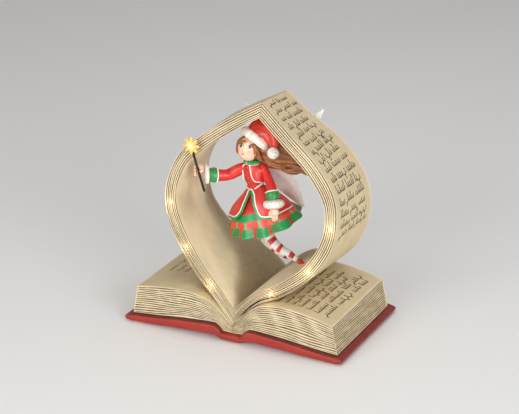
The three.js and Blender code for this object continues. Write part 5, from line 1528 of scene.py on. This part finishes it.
class Hat:
    """The pointed hat that falls to one side, its rolled fur brim and its pompom."""

    pompom: tuple[float, float, float] = (0.205, -0.06, 0.388)
    pompom_radius: float = 5.2

    def folds(self, share: Array, turn: Array) -> Array:
        """Soft folds where the hat bends over."""
        bend = bell(share, 0.5, 0.22)
        along = 0.35 * np.cos(2 * turn + 9 * share) * ease(share, 0.1, 0.3)
        return 0.55 * bend * np.cos(3 * turn + 5 * share) + along

    def tone(self, share: Array, turn: Array, points: Array) -> dict[str, Array]:
        """Red, with painted highlights on the ridges of the folds and painted shade in their
        hollows.
        """
        folds = self.folds(share, turn)
        return {"paint": coat(Hue.RED, Hue.RED_LIGHT, 0.3 + 0.5 * ease(folds, 0, 0.6)),
                "wash": 0.2 * ease(-folds, 0, 0.7)}

    def brim(self) -> Array:
        """The roll as a ring tube: a circle carried round another one square to the hat's axis."""
        *place, radius, roll = BRIM
        axis = unit(np.array(HAT_AXIS))
        first = unit(np.cross([0.0, 1.0, 0.0], axis))
        second = np.cross(axis, first)
        around, turn = np.meshgrid(circle(150), circle(44), indexing="ij")
        c, s, d, e = np.cos(around), np.sin(around), np.cos(turn), np.sin(turn)
        out = first * c[..., None] + second * s[..., None]
        thick = roll * DOLL * (1.12 + 0.08 * wander(41, c * 2, s * 2, d * 0.5))
        thick = thick + 0.2 * wander(42, c * 9, s * 9, d * 2, e * 2)
        lump = out * (d * thick)[..., None] + axis * (e * thick * 1.2)[..., None]
        return on_doll(*place) + out * radius * DOLL + lump

    def make(self, finishes: Finishes) -> None:
        """Build the hat, brim and pompom."""
        hat = Limb(HAT, self.folds, soft=0.02)
        fold = Limb(HAT_FOLD, soft=0.1)
        shape = Shape.join([hat.shape(120, 90, self.tone), fold.shape(60, 70, self.tone)])
        build("doll_hat", shape, finishes.dress, ["hat"])
        points = self.brim()
        brim = Shape.sheet(points, fur_tone(points[..., 0], points[..., 1], points), (True, True))
        build("hat_fur_brim", brim, finishes.fur, ["hat_brim"])
        lat, lon, ball = sphere(60, 90)
        size = self.pompom_radius + 0.38 * wander(43, *(ball[..., k] * 2.6 for k in range(3)))
        points = on_doll(*self.pompom) + ball * size[..., None]
        pompom = Shape.tube(points, fur_tone(lat, lon, points))
        build("hat_pompom", pompom, finishes.fur, ["pompom"])


class Dress:
    """Collar, short jacket over a bodice, overskirt, checked ruffle, sleeves and cuffs."""

    hem_folds: int = 10
    hem_strips = (-170, -140, -110, -72, -44, -18.5, 7, 33, 71.5, 100, 130, 160)
    row_strips = (-160, -130, -95, -60, -32, -9, 18, 52, 86, 120, 150)
    edge_offs = (-180, -75, -52, -33.2, -23.8, -17, -13.5, -12.2, -11.4, -11, -10.8, -6, 0, 4.2,
                 7.2, 10.2, 13.8, 16.8, 21.5, 30, 40, 180)
    edge_shares = (1, 1, 0.95, 0.922, 0.842, 0.732, 0.66, 0.56, 0.4, 0.2, 0.11, 0.14, 0.2, 0.258,
                   0.386, 0.529, 0.674, 0.81, 0.93, 0.975, 1, 1)
    collar_notch: float = -22.0

    def __init__(self) -> None:
        """Lay out the forms that the trim follows."""
        self.jacket = Rings(JACKET, self.jacket_relief, soft=0.03)
        self.collar = Rings(COLLAR, self.collar_relief, soft=0.2)
        self.under = Rings(UNDERSKIRT, self.ruffle)

    def collar_relief(self, share: Array, turn: Array) -> Array:
        """Two turned-down lobes that part at a notch in front."""
        off = away(turn, -90)
        notch = bell(off, self.collar_notch, 8.0) * ease(1 - share, 0, 0.3)
        return -2.6 * notch + 0.3 * np.cos(np.radians(4 * (off - self.collar_notch)))

    def bodice(self, share: Array, turn: Array) -> Array:
        """1 where the bodice shows: between the jacket's two fronts and below its hem."""
        off = away(turn, -90)
        left = np.interp(share, [0.308, 0.40, 0.494, 0.65, 0.807, 0.9],
                         [-48.5, -43, -41.8, -43, -45.8, -46])
        right = np.interp(share, [0.258, 0.311, 0.333, 0.406, 0.509, 0.667, 0.875],
                          [73.5, 49.5, 28, 17.2, 11.2, 6, 4.8])
        low = np.interp(off, [-180, -75, -48.5, 0, 73.5, 110, 180],
                        [0.26, 0.28, 0.308, 0.308, 0.258, 0.25, 0.26])
        between = ease(off - left, -1.5, 1.5) * ease(right - off, -1.5, 1.5)
        return np.maximum(between, ease(low - share, -0.01, 0.02))

    def jacket_relief(self, share: Array, turn: Array) -> Array:
        """The jacket stands over the bodice, with creases under the arms."""
        creases = np.cos(np.radians(away(turn, -90)) * 5 + share * 9) * bell(share, 0.55, 0.2)
        return 0.05 - 0.75 * self.bodice(share, turn) + 0.22 * creases

    def jacket_tone(self, share: Array, turn: Array, points: Array) -> dict[str, Array]:
        """Red, a little darker in the bodice, with painted shade below the jacket's edges and at
        the waist.
        """
        bodice = self.bodice(share, turn)
        colour = coat(Hue.RED, Hue.RED_LIGHT, 0.25 * (1 - bodice))
        return {"paint": colour, "wash": 0.35 * bell(bodice, 0.5, 0.3) + 0.12 * bodice
                + 0.2 * ease(0.1 - share, 0, 0.1)}

    def ruffle(self, share: Array, turn: Array) -> Array:
        """Waves round the hem that deepen downwards."""
        depth = np.interp(share, [0, 0.33, 0.5, 0.667, 0.833, 1], [0, 0.35, 0.8, 1.1, 1.1, 0])
        return 1.25 * depth * np.sin(self.hem_folds * turn + 0.6)

    def check(self, share: Array, turn: Array, points: Array) -> dict[str, Array]:
        """Rows of squares: green at the hem and red above it, parted by strips, then green."""
        x, y, z = axes(points)
        off = away(turn, -90) + 0.8 * wander(52, x / 9, z / 9)
        height = share + 0.008 * wander(51, x / 6, y / 6)

        def strips(places: Sequence[float]) -> Array:
            """1 on the strips, which narrow a little towards the waist."""
            gap = np.min(np.abs(off[..., None] - np.array(places)), -1)
            return ease(1.2 + 2.2 * share - gap, -0.25, 0.25)

        hem = coat(Hue.GREEN, Hue.RED, strips(self.hem_strips))
        middle = coat(Hue.RED_LIGHT, Hue.GREEN_PALE, strips(self.row_strips))
        colour = coat(middle, hem, ease(height, 0.467, 0.475))
        colour = coat(colour, Hue.GREEN, ease(0.325 - height, 0, 0.01))
        colour = coat(colour, Hue.RED, ease(0.22 - height, 0, 0.01))
        colour = coat(colour, Hue.GREEN_DARK, ease(share, 0.69, 0.72))
        # Painted shade in the hollows of the folds.
        fold = 0.28 * ease(-np.sin(self.hem_folds * turn + 0.6), 0.1, 1) * ease(share, 0.3, 0.6)
        seams = 0.3 * bell(height, 0.471, 0.008) + 0.3 * bell(height, 0.322, 0.008)
        # Painted shade too at the top, under the overskirt, and dark seams.
        wash = fold + seams + 0.2 * ease(0.22 - share, 0, 0.1)
        return {"paint": colour, "wash": np.clip(wash, 0, 1)}

    def overskirt(self) -> Shape:
        """The overskirt as a shell whose lower edge climbs to the parting of its two panels.

        Each column of its grid runs from the waist down to the edge. A green band and a raised
        white cord follow the edge by their distance from it, on the front half alone.
        """
        off = np.concatenate([np.linspace(-36, -14, 50), np.linspace(-14, -9.5, 60)[1:],
                              np.linspace(-9.5, 34, 96)[1:], np.linspace(34, 324, 190)[1:-1]])
        turn = np.radians(off - 90)
        facing = (off + 180) % 360 - 180
        edge = np.interp(facing, self.edge_offs, self.edge_shares)
        share = np.linspace(0, 1, 110)[:, None] * edge[None, :]
        tt = np.broadcast_to(turn, share.shape)
        radial = np.stack([np.cos(tt), np.sin(tt), 0 * tt], -1)
        fold = np.sin(6 * turn + 0.4) * ease(share, 0.3, 1.0)
        outer = Rings(OVERSKIRT).at(share, tt) + radial * 0.8 * fold[..., None]
        line = outer[-1, ::2]
        gaps = [np.linalg.norm(row[:, None] - line[None], axis=-1).min(-1) for row in outer]
        gaps = np.array(gaps)
        front = ease(facing, -102, -96) * ease(108 - facing, 0, 6)
        cord = ease(gaps, 1.95, 2.2) * ease(3.35 - gaps, 0, 0.25) * front
        green = ease(2.2 - gaps, 0, 0.2) * ease(facing, -66, -60) * ease(66 - facing, 0, 6)
        inner = outer - radial * (1.1 * ease(share, 0, 0.15) + 0.25)[..., None]
        inner[..., 2] -= 0.15
        outer = outer + radial * 0.4 * cord[..., None]
        lip = (outer[-1] + inner[-1]) / 2 + np.array([0, 0, -0.25])
        points = np.concatenate([outer, lip[None], inner[::-1]])
        light = 0.55 * ease(gaps, 4, 10) + 0.5 * ease(0.9 - gaps, 0, 0.4) * (1 - front)
        colour = coat(Hue.RED, Hue.RED_LIGHT, light)
        colour = coat(coat(colour, Hue.GREEN, green), Hue.WHITE, cord)
        hidden = np.broadcast_to(Hue.RED.linear, outer.shape)
        # Painted shade in the hollows of the folds, and a dark line inside the cord at the front.
        wash = 0.25 * ease(-fold, 0.1, 0.9) * (1 - cord) + 0.3 * bell(gaps, 3.5, 0.25) * front
        values = {"paint": np.concatenate([colour, colour[-1:], hidden]),
                  "wash": np.concatenate([wash, 0 * wash[-1:], 0.4 + 0 * wash])}
        made = Shape.sheet(points, values, (False, True))
        j = np.arange(len(off))
        on, base = np.roll(j, -1), (len(points) - 1) * len(off)
        made.faces.append(np.column_stack([on, j, j + base, on + base]))
        return made

    def trim(self) -> Shape:
        """White cords along the collar, the jacket's fronts and the waist."""
        left = [[0.90, -136], [0.807, -135.8], [0.65, -133], [0.494, -131.8], [0.40, -133],
                [0.308, -138.5]]
        right = [[0.95, -85.5], [0.875, -85.2], [0.667, -84], [0.509, -78.8], [0.406, -72.8],
                 [0.333, -62], [0.311, -40.5], [0.258, -16.5], [0.25, 10]]
        waist = [[0.26, -5], [0.223, -16.5], [0.150, -52.2], [0.02, -77.8], [0.012, -97.5],
                 [0.02, -120], [0.05, -148], [0.1, -185]]
        beads = [bead(self.jacket.line(stops, 0.5), 0.6) for stops in (left, right, waist)]
        turn = circle(160)
        climb = 0.10 + 0.62 * bell(away(turn, -90), self.collar_notch, 5.0)
        beads.append(bead(self.collar.at(climb, turn, 0.15), 0.55, closed=True))
        return Shape.join(beads)

    def buttons(self) -> Shape:
        """A column of small pale dots down the bodice."""
        lat, lon, ball = sphere(9, 14)
        parts = []
        for share, off in ((0.729, -13.5), (0.546, -9.5), (0.409, -9.5), (0.271, -16.8)):
            middle = self.jacket.at(np.array(share), np.radians(off - 90), 0.1)
            points = middle + ball * np.array([0.5, 0.3, 0.55])
            parts.append(Shape.tube(points, plain(Hue.HAIR_LIGHT)(lat, lon, points)))
        return Shape.join(parts)

    def sleeve(self, seed: float) -> Relief:
        """Creases of a sleeve, strongest inside the elbow."""

        def creases(share: Array, turn: Array) -> Array:
            """Height of the creases in millimetres."""
            folds = 0.4 * np.cos(14 * share + 1.5 * np.cos(turn + seed)) * bell(share, 0.45, 0.3)
            return folds * (0.5 + 0.5 * np.cos(turn + seed))

        return creases

    def red_tone(self, relief: Relief) -> Tone:
        """Red, with painted highlights on the ridges of a relief and painted shade in its hollows.
        """

        def tone(share: Array, turn: Array, points: Array) -> dict[str, Array]:
            """Paint and wash at each point."""
            height = relief(share, turn)
            return {"paint": coat(Hue.RED, Hue.RED_LIGHT, 0.5 * ease(height, 0.05, 0.4)),
                    "wash": 0.45 * ease(-height, 0.05, 0.4)}

        return tone

    def arm(self, name: str, finishes: Finishes, tables: Sequence[Any], lean: float) -> Shape:
        """Build an arm's sleeve, cuff and fur roll.

        Args:
            name: the arm.
            finishes: the finishes to use.
            tables: the sleeve's, the cuff's and the roll's table.
            lean: turn of the sleeve's creases in radians.

        Returns:
            The cuff's white cord.
        """
        cloth, (sleeve, cuff, roll) = finishes.dress, tables
        creases = self.sleeve(lean)
        shape = Limb(sleeve, creases, soft=0.08).shape(90, 70, self.red_tone(creases))
        build(f"{name}_arm_sleeve", shape, cloth, [f"{name}_sleeve"])
        band = Limb(cuff, soft=0.1)
        shape = band.shape(40, 70, plain(Hue.GREEN, 0.25))
        build(f"{name}_arm_cuff", shape, cloth, [f"{name}_cuff"])
        shape = Limb(roll, tufts(80 + int(lean), 0.42, 2.2), soft=0.3).shape(60, 110, fur_tone)
        build(f"{name}_arm_fur", shape, finishes.fur, [f"{name}_fur_cuff"])
        return bead(band.at(np.full(90, 0.1), circle(90), 0.25), 0.6, closed=True)

    def make(self, finishes: Finishes) -> None:
        """Build every piece of the dress."""
        cloth = finishes.dress
        jacket = self.jacket.shape(130, 220, self.jacket_tone)
        build("doll_jacket", jacket, cloth, ["jacket"])
        collar = self.collar.shape(50, 160, plain(Hue.GREEN, 0.25))
        build("doll_collar", collar, cloth, ["collar"])
        build("doll_overskirt", self.overskirt(), cloth, ["overskirt"])
        lining = Rings(LINING).shape(20, 120, plain(Hue.RED, 0.3))
        ruffle = Shape.join([self.under.shape(150, 420, self.check), lining])
        build("doll_ruffle", ruffle, cloth, ["underskirt"])
        build("bodice_buttons", self.buttons(), cloth)
        trims = [self.trim(),
                 self.arm("wand", finishes, (WAND_SLEEVE, WAND_CUFF, WAND_FUR), 2.2),
                 self.arm("low", finishes, (LOW_SLEEVE, LOW_CUFF, LOW_FUR), 0.4)]
        build("white_piping", Shape.join(trims), cloth)


class Hands:
    """Two small hands: a palm with four fingers and a thumb run together."""

    fingers = {
        "wand": [[[-470, -215, z, 12.5], [-497, -235, z, 13.5], [-487, -262, z - 3, 11.5]]
                 for z in (205, 180, 155, 130)]
        + [[[-430, -210, 190, 13.5], [-425, -250, 180, 13.5], [-440, -268, 176, 11]]],
        "low": [[[x, -150, -165, 12], [x + 2, -157, -200, 12.5], [x + 1, -160, tip, 9.5]]
                for x, tip in ((229, -222), (248, -234), (267, -233), (284, -220))]
        + [[[233, -150, -130, 12.5], [219, -163, -160, 12.5], [223, -170, -190, 9.5]]],
    }
    palms = {
        "wand": [[-424, -206, 168, 30], [-450, -212, 174, 45], [-474, -216, 180, 45],
                 [-494, -220, 184, 34]],
        "low": [[256, -141, -115, 34], [258, -145, -135, 42], [260, -150, -160, 43],
                [262, -153, -185, 34]],
    }

    def make(self, finishes: Finishes) -> None:
        """Build both hands. The one with the wand closes round it."""
        for name, palm in self.palms.items():
            parts = [Limb(shares(palm), soft=0.25, flat=0.8).shape(50, 48, plain(Hue.SKIN, 0.15))]
            parts += [Limb(shares(finger), soft=0.2).shape(30, 24, plain(Hue.SKIN, 0.25))
                      for finger in self.fingers[name]]
            shape = Shape.join(parts)
            build(f"{name}_arm_hand", shape, finishes.skin, [f"{name}_hand"])


class Legs:
    """Striped stockings and pointed shoes."""

    bars = {"front": ((0.33, 1, 0.045), (0.45, -1, 0.03), (0.53, 1, 0.045), (0.71, -1, 0.035),
                      (0.83, 1, 0.06)),
            "back": ((0.26, -1, 0.05), (0.6, 1, 0.04), (0.8, 1, 0.045))}

    def stripes(self, name: str) -> Tone:
        """White with red bars that go half way round, on one side and then the other."""

        def tone(share: Array, turn: Array, points: Array) -> dict[str, Array]:
            """Paint and wash at each point."""
            bar = 0 * share
            for place, side, half in self.bars[name]:
                along = np.abs(share - place + 0.012 * np.cos(turn))
                reach = ease(side * np.sin(turn), -0.3 if side > 0 else 0.1, 0.2)
                bar = np.maximum(bar, ease(half - along, -0.003, 0.003) * reach)
            return {"paint": coat(Hue.WHITE, Hue.RED, bar), "wash": 0.1 * bell(bar, 0.5, 0.3)}

        return tone

    def knee(self, share: Array, turn: Array) -> Array:
        """Calf and knee, with a soft wrinkle at the ankle."""
        ankle = 0.2 * np.cos(60 * share) * bell(share, 0.92, 0.06)
        return 0.5 * bell(share, 0.5, 0.14) - 0.3 * bell(share, 0.68, 0.1) + ankle

    def make(self, finishes: Finishes) -> None:
        """Build legs and shoes."""
        for name, leg, shoe in (("front", FRONT_LEG, FRONT_SHOE), ("back", BACK_LEG, BACK_SHOE)):
            shape = Limb(leg, self.knee, soft=0.03).shape(170, 90, self.stripes(name))
            build(f"{name}_stocking", shape, finishes.dress, [f"{name}_leg"])
            shape = Limb(shoe, soft=0.12).shape(60, 50, plain(Hue.RED, 0.3))
            build(f"{name}_pointed_shoe", shape, finishes.dress, [f"{name}_shoe"])


WING_ROOT = 0.16
WINGS = {
    "right": [
        [[[0.0, 0, 0.14], [0.02, 0, 0.08]], [[0.1, 0.431, 0.3], [0.16, 0.431, 0.19]],
         [[0.2, 0.824, 0.44], [0.29, 0.824, 0.34]], [[0.33, 0.961, 0.57], [0.41, 0.961, 0.5]],
         [[0.478, 1, 0.704], [0.49, 1, 0.69]]],
        [[[0.0, 0, 0.15], [0.01, 0, 0.06]], [[0.14, 0.039, 0.17], [0.09, 0.039, 0.0]],
         [[0.26, 0.078, 0.13], [0.16, 0.078, -0.07]], [[0.34, 0.118, 0.0], [0.25, 0.118, -0.13]],
         [[0.395, 0.157, -0.19], [0.38, 0.157, -0.205]]]],
    "left": [
        [[[-0.05, 0, 0.14], [-0.03, 0, 0.08]], [[-0.14, 0.431, 0.28], [-0.06, 0.431, 0.3]],
         [[-0.21, 0.824, 0.42], [-0.11, 0.824, 0.46]], [[-0.26, 0.961, 0.55], [-0.2, 0.961, 0.57]],
         [[-0.306, 1, 0.65], [-0.29, 1, 0.65]]],
        [[[-0.04, 0, 0.12], [-0.02, 0, 0.04]], [[-0.1, 0.078, 0.06], [-0.04, 0.078, -0.02]],
         [[-0.14, 0.157, -0.02], [-0.06, 0.157, -0.08]],
         [[-0.15, 0.235, -0.1], [-0.1, 0.235, -0.13]],
         [[-0.14, 0.275, -0.16], [-0.13, 0.275, -0.165]]]],
}


class Wings:
    """Two pairs of thin wings, pressed flat against the back of the loop near their tips."""

    thickness: float = 1.9

    def place(self, x: float, way: float, z: float) -> Array:
        """A place on a wing: its depth goes from her back to just behind the bands."""
        point = on_doll(x, WING_ROOT, z)
        point[1] += (BOOK.back + 2.7 - point[1]) * way
        return point

    def lobe(self, table: Sequence[Sequence[Sequence[float]]]) -> Shape:
        """One lobe: straight lines between two edge curves, lens-shaped in section.

        The section's half thickness is a half ellipse, lifted by three shallow ribs.

        Args:
            table: rows of the two edges' places.

        Returns:
            The closed shape.
        """
        edges = [Spline([self.place(*row[k]) for row in table]) for k in (0, 1)]
        along, around = np.meshgrid(np.linspace(0, 1, 90), circle(64), indexing="ij")
        over = 0.5 - 0.5 * np.cos(around)
        a, b = edges[0].at(along), edges[1].at(along)
        points = a + (b - a) * over[..., None]
        ribs = 0.14 * np.cos(over * 3 * 2 * np.pi) * ease(1 - along, 0, 0.4)
        half = self.thickness / 2 * np.abs(np.sin(around)) ** 0.7 + ribs * np.abs(np.sin(around))
        points[..., 1] += np.sign(np.sin(around)) * half
        shade = 0.3 * ease(along, 0.45, 0.8) * ease(over, 0.1, 0.9) * ease(1 - along, 0, 0.15)
        shade = shade + 0.12 * wander(91, points[..., 0] / 15, points[..., 2] / 15)
        rim = ease(np.abs(over - 0.5), 0.44, 0.5)
        paint = coat(Hue.WING, Hue.WHITE, 0.7 * rim)
        return Shape.tube(points, {"paint": paint, "wash": np.clip(shade, 0, 1) * (1 - 0.6 * rim)})

    def make(self, finishes: Finishes) -> None:
        """Build each pair as one piece."""
        for name, lobes in WINGS.items():
            shape = Shape.join([self.lobe(table) for table in lobes])
            build(f"{name}_pearl_wing", shape, finishes.wing, [f"{name}_wing"])


@dataclass
class Wand:
    """The thin black wand and the star at its tip."""

    foot: tuple[float, float, float] = (-0.438, -0.186, -0.05)
    top: tuple[float, float, float] = (-0.47, -0.338, 0.398)
    rod_radius: float = 0.0115
    petals: int = 8
    reach: float = 8.6
    valley: float = 5.4

    def star(self) -> Shape:
        """Broad rounded petals, grooved between them and domed towards the middle.

        The outline's radius is a raised cosine of the turn between valley and reach. The front
        and the back are its shares towards the middle, thinner outwards.
        """
        foot, top = on_doll(*self.foot), on_doll(*self.top)
        middle = top + unit(top - foot) * self.valley
        turn = circle(160)
        wave = 0.5 + 0.5 * np.cos(self.petals * (turn - np.pi / 2))
        outline = self.valley + (self.reach - self.valley) * wave**0.75
        level = np.array([0.04, 0.15, 0.3, 0.45, 0.6, 0.72, 0.82, 0.9, 0.96, 1.0])
        share = np.concatenate([level, level[:-1][::-1]])[:, None]
        side = np.concatenate([-np.ones(len(level)), np.ones(len(level) - 1)])[:, None]
        groove = (1 - wave) ** 3 * ease(share, 0.15, 0.6)
        thick = 1.35 * np.sqrt(np.clip(1.02 - share**3, 0, 1)) - 0.5 * groove * (share < 0.99)
        out = outline * share
        points = middle + np.stack([out * np.cos(turn), side * thick, out * np.sin(turn)], -1)
        # Paler towards the middle, a painted highlight, where it also glows most: a painted glow.
        pale = ease(0.75 - share, 0, 0.5) * (1 - 0.7 * groove)
        paint = coat(coat(Hue.GOLD, Hue.GOLD_PALE, pale), Hue.TAN, 0.45 * groove)
        return Shape.tube(points, {"paint": paint, "glow": 0.35 + 0.65 * pale})

    def make(self, finishes: Finishes) -> None:
        """Build the rod and the star."""
        foot, top = np.array(self.foot), np.array(self.top)
        rows = [[*(foot + (top - foot) * t), self.rod_radius] for t in (0.0, 0.33, 0.67, 1.0)]
        rod = Limb(rows, soft=0.02)
        shape = rod.shape(60, 20, plain(Hue.BLACK))
        build("wand_rod", shape, finishes.wand, ["wand"])
        build("wand_gold_star", self.star(), finishes.star, ["wand_star"], crease=40)


class Lamps:
    """Six small lamps whose lenses stand a little proud of the page edges."""

    profile = np.array([[1.35, -2.8], [1.5, -2.6], [1.5, 1.0], [1.42, 1.45], [1.2, 1.85],
                        [0.85, 2.2], [0.45, 2.42], [0.12, 2.5]])

    def make(self, finishes: Finishes) -> list[Array]:
        """Build each lens as a turned form over its CAD node.

        Returns:
            The middle of each lens's tip, in metres.
        """
        normal = unit(np.array([0.0, -1.0, BOOK.lean]))
        side = np.array([1.0, 0.0, 0.0])
        turn = circle(28)[:, None]
        ring = side * np.cos(turn) + np.cross(normal, side) * np.sin(turn)
        radius, height = self.profile.T[:, :, None, None]
        values = {"paint": Hue.GOLD_PALE, "glow": ease(self.profile[:, 1:], 0.2, 1.8)}
        tips = []
        for k in range(1, 7):
            low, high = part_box(f"led_{k}")
            middle = (np.array(low) + np.array(high)) / 2 / MM
            shape = Shape.tube(middle + ring[None] * radius + normal * height, values)
            build(f"lamp_lens_{k}", shape, finishes.lens, [f"led_{k}"])
            tips.append((middle + normal * self.profile[-1, 1]) * MM)
        return tips


class Works:
    """The pieces that stay as the frame has them: box, door, cells, board, switch and pads."""

    def dress(self, frame: dict[str, Any], finishes: Finishes) -> None:
        """Give each carried-over node its finish."""
        wear = {
            finishes.case: ["battery_box", "battery_door", "switch_body"],
            finishes.knob: ["switch_knob"],
            finishes.sleeve: ["cell_1", "cell_2", "cell_3"],
            finishes.contact: ["rear_contact_strip", "front_contact_strip"],
            finishes.board: ["timer_board"],
            finishes.rubber: ["foot_1", "foot_2", "foot_3", "foot_4"],
            finishes.lead: ["left_led_lead", "right_led_lead"],
        }
        for finish, names in wear.items():
            for name in names:
                node = frame["nodes"][name]
                for slot in node.material_slots:
                    slot.link = "OBJECT"
                    slot.material = finish
                LOG.info("%s: %s", name, finish.name)


class Studio:
    """Pale floor, soft light and the camera at the photograph's angle."""

    reach: float = 3.0
    soft_light: float = 0.40
    target: Array = np.array([0.0, 0.0, 0.1])
    lamps = (("key", (-0.3, -1.35, 0.62), 0.8, 10.4, (1.0, 0.98, 0.95)),
             ("fill", (1.2, -0.75, 0.32), 1.0, 17.0, (1.0, 0.99, 0.98)),
             ("top", (0.1, 0.3, 1.3), 1.0, 3.5, (1.0, 1.0, 1.0)))
    lens_mm: float = 124.86
    shift: tuple[float, float] = (-0.0757, 0.0354)
    stand: tuple[float, float, float] = (0.6827, -1.3517, 0.7258)
    turned = ((0.9028, -0.1662, 0.3966), (0.4300, 0.3490, -0.8327), (0.0, 0.9223, 0.3865))

    def floor(self) -> None:
        """A plain pale floor."""
        mesh = bpy.data.meshes.new("floor")
        corners = [(x * self.reach, y * self.reach, 0)
                   for x, y in ((-1, -1), (1, -1), (1, 1), (-1, 1))]
        mesh.from_pydata(corners, [], [(0, 1, 2, 3)])
        nodes = Nodes("pale_floor")
        nodes.feed("Base Color", (0.82, 0.81, 0.80, 1))
        nodes.feed("Roughness", 0.75)
        mesh.materials.append(nodes.material)
        placed("floor", mesh)

    def world(self) -> None:
        """White where the camera or a lens looks, and soft grey light elsewhere."""
        world = bpy.data.worlds.new("surround")
        bpy.context.scene.world = world
        world.use_nodes = True
        tree = world.node_tree
        back = tree.nodes["Background"]
        path = tree.nodes.new("ShaderNodeLightPath")
        seen = tree.nodes.new("ShaderNodeMath")
        seen.operation = "MAXIMUM"
        strength = tree.nodes.new("ShaderNodeMapRange")
        strength.inputs[3].default_value, strength.inputs[4].default_value = self.soft_light, 1.0
        back.inputs[0].default_value = (1, 1, 1, 1)
        for source, sink in ((path.outputs["Is Camera Ray"], seen.inputs[0]),
                             (path.outputs["Is Transmission Ray"], seen.inputs[1]),
                             (seen.outputs[0], strength.inputs[0]),
                             (strength.outputs[0], back.inputs[1])):
            tree.links.new(source, sink)

    def lights(self, tips: Sequence[Array]) -> None:
        """Soft square lamps that face the middle of the ornament, and a spark at each lens."""
        for name, place, size, watts, colour in self.lamps:
            data = bpy.data.lights.new(name, "AREA")
            data.size, data.energy, data.color = size, watts, colour
            back = unit(np.array(place) - self.target)
            side = unit(np.cross([0.0, 0.0, 1.0], back))
            turned = np.column_stack([side, np.cross(back, side), back])
            lamp = placed(name, data)
            lamp.matrix_world = Matrix(turned.tolist()).to_4x4()
            lamp.location = place
        for k, tip in enumerate(tips):
            data = bpy.data.lights.new(f"spark_{k}", "POINT")
            data.energy, data.color, data.shadow_soft_size = 0.002, (1.0, 0.78, 0.45), 0.002
            placed(f"spark_{k}", data).location = tip + np.array([0.0, -0.004, 0.0012])

    def camera(self) -> None:
        """The camera, placed and turned as the photograph was taken."""
        data = bpy.data.cameras.new("camera")
        data.sensor_width, data.lens, data.clip_end = 36.0, self.lens_mm, 20.0
        data.shift_x, data.shift_y = self.shift
        camera = placed("camera", data)
        camera.matrix_world = Matrix(self.turned).to_4x4()
        camera.location = self.stand
        bpy.context.scene.camera = camera

    def make(self, tips: Sequence[Array]) -> None:
        """Set the scene round the ornament."""
        self.floor()
        self.world()
        self.lights(tips)
        self.camera()
        bpy.context.scene.view_settings.view_transform = "Standard"


def main() -> None:
    """Load the frame, build each piece over it and set the scene."""
    logging.basicConfig(level=logging.INFO, format="%(name)s %(message)s")
    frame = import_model()
    finishes = Finishes()
    BookPieces(finishes).make()
    tips = Lamps().make(finishes)
    Works().dress(frame, finishes)
    face = Face()
    face.make(finishes)
    Hair(face).make(finishes)
    Hat().make(finishes)
    Dress().make(finishes)
    Hands().make(finishes)
    Legs().make(finishes)
    Wings().make(finishes)
    Wand().make(finishes)
    Studio().make(tips)


if __name__ == "__main__":
    main()
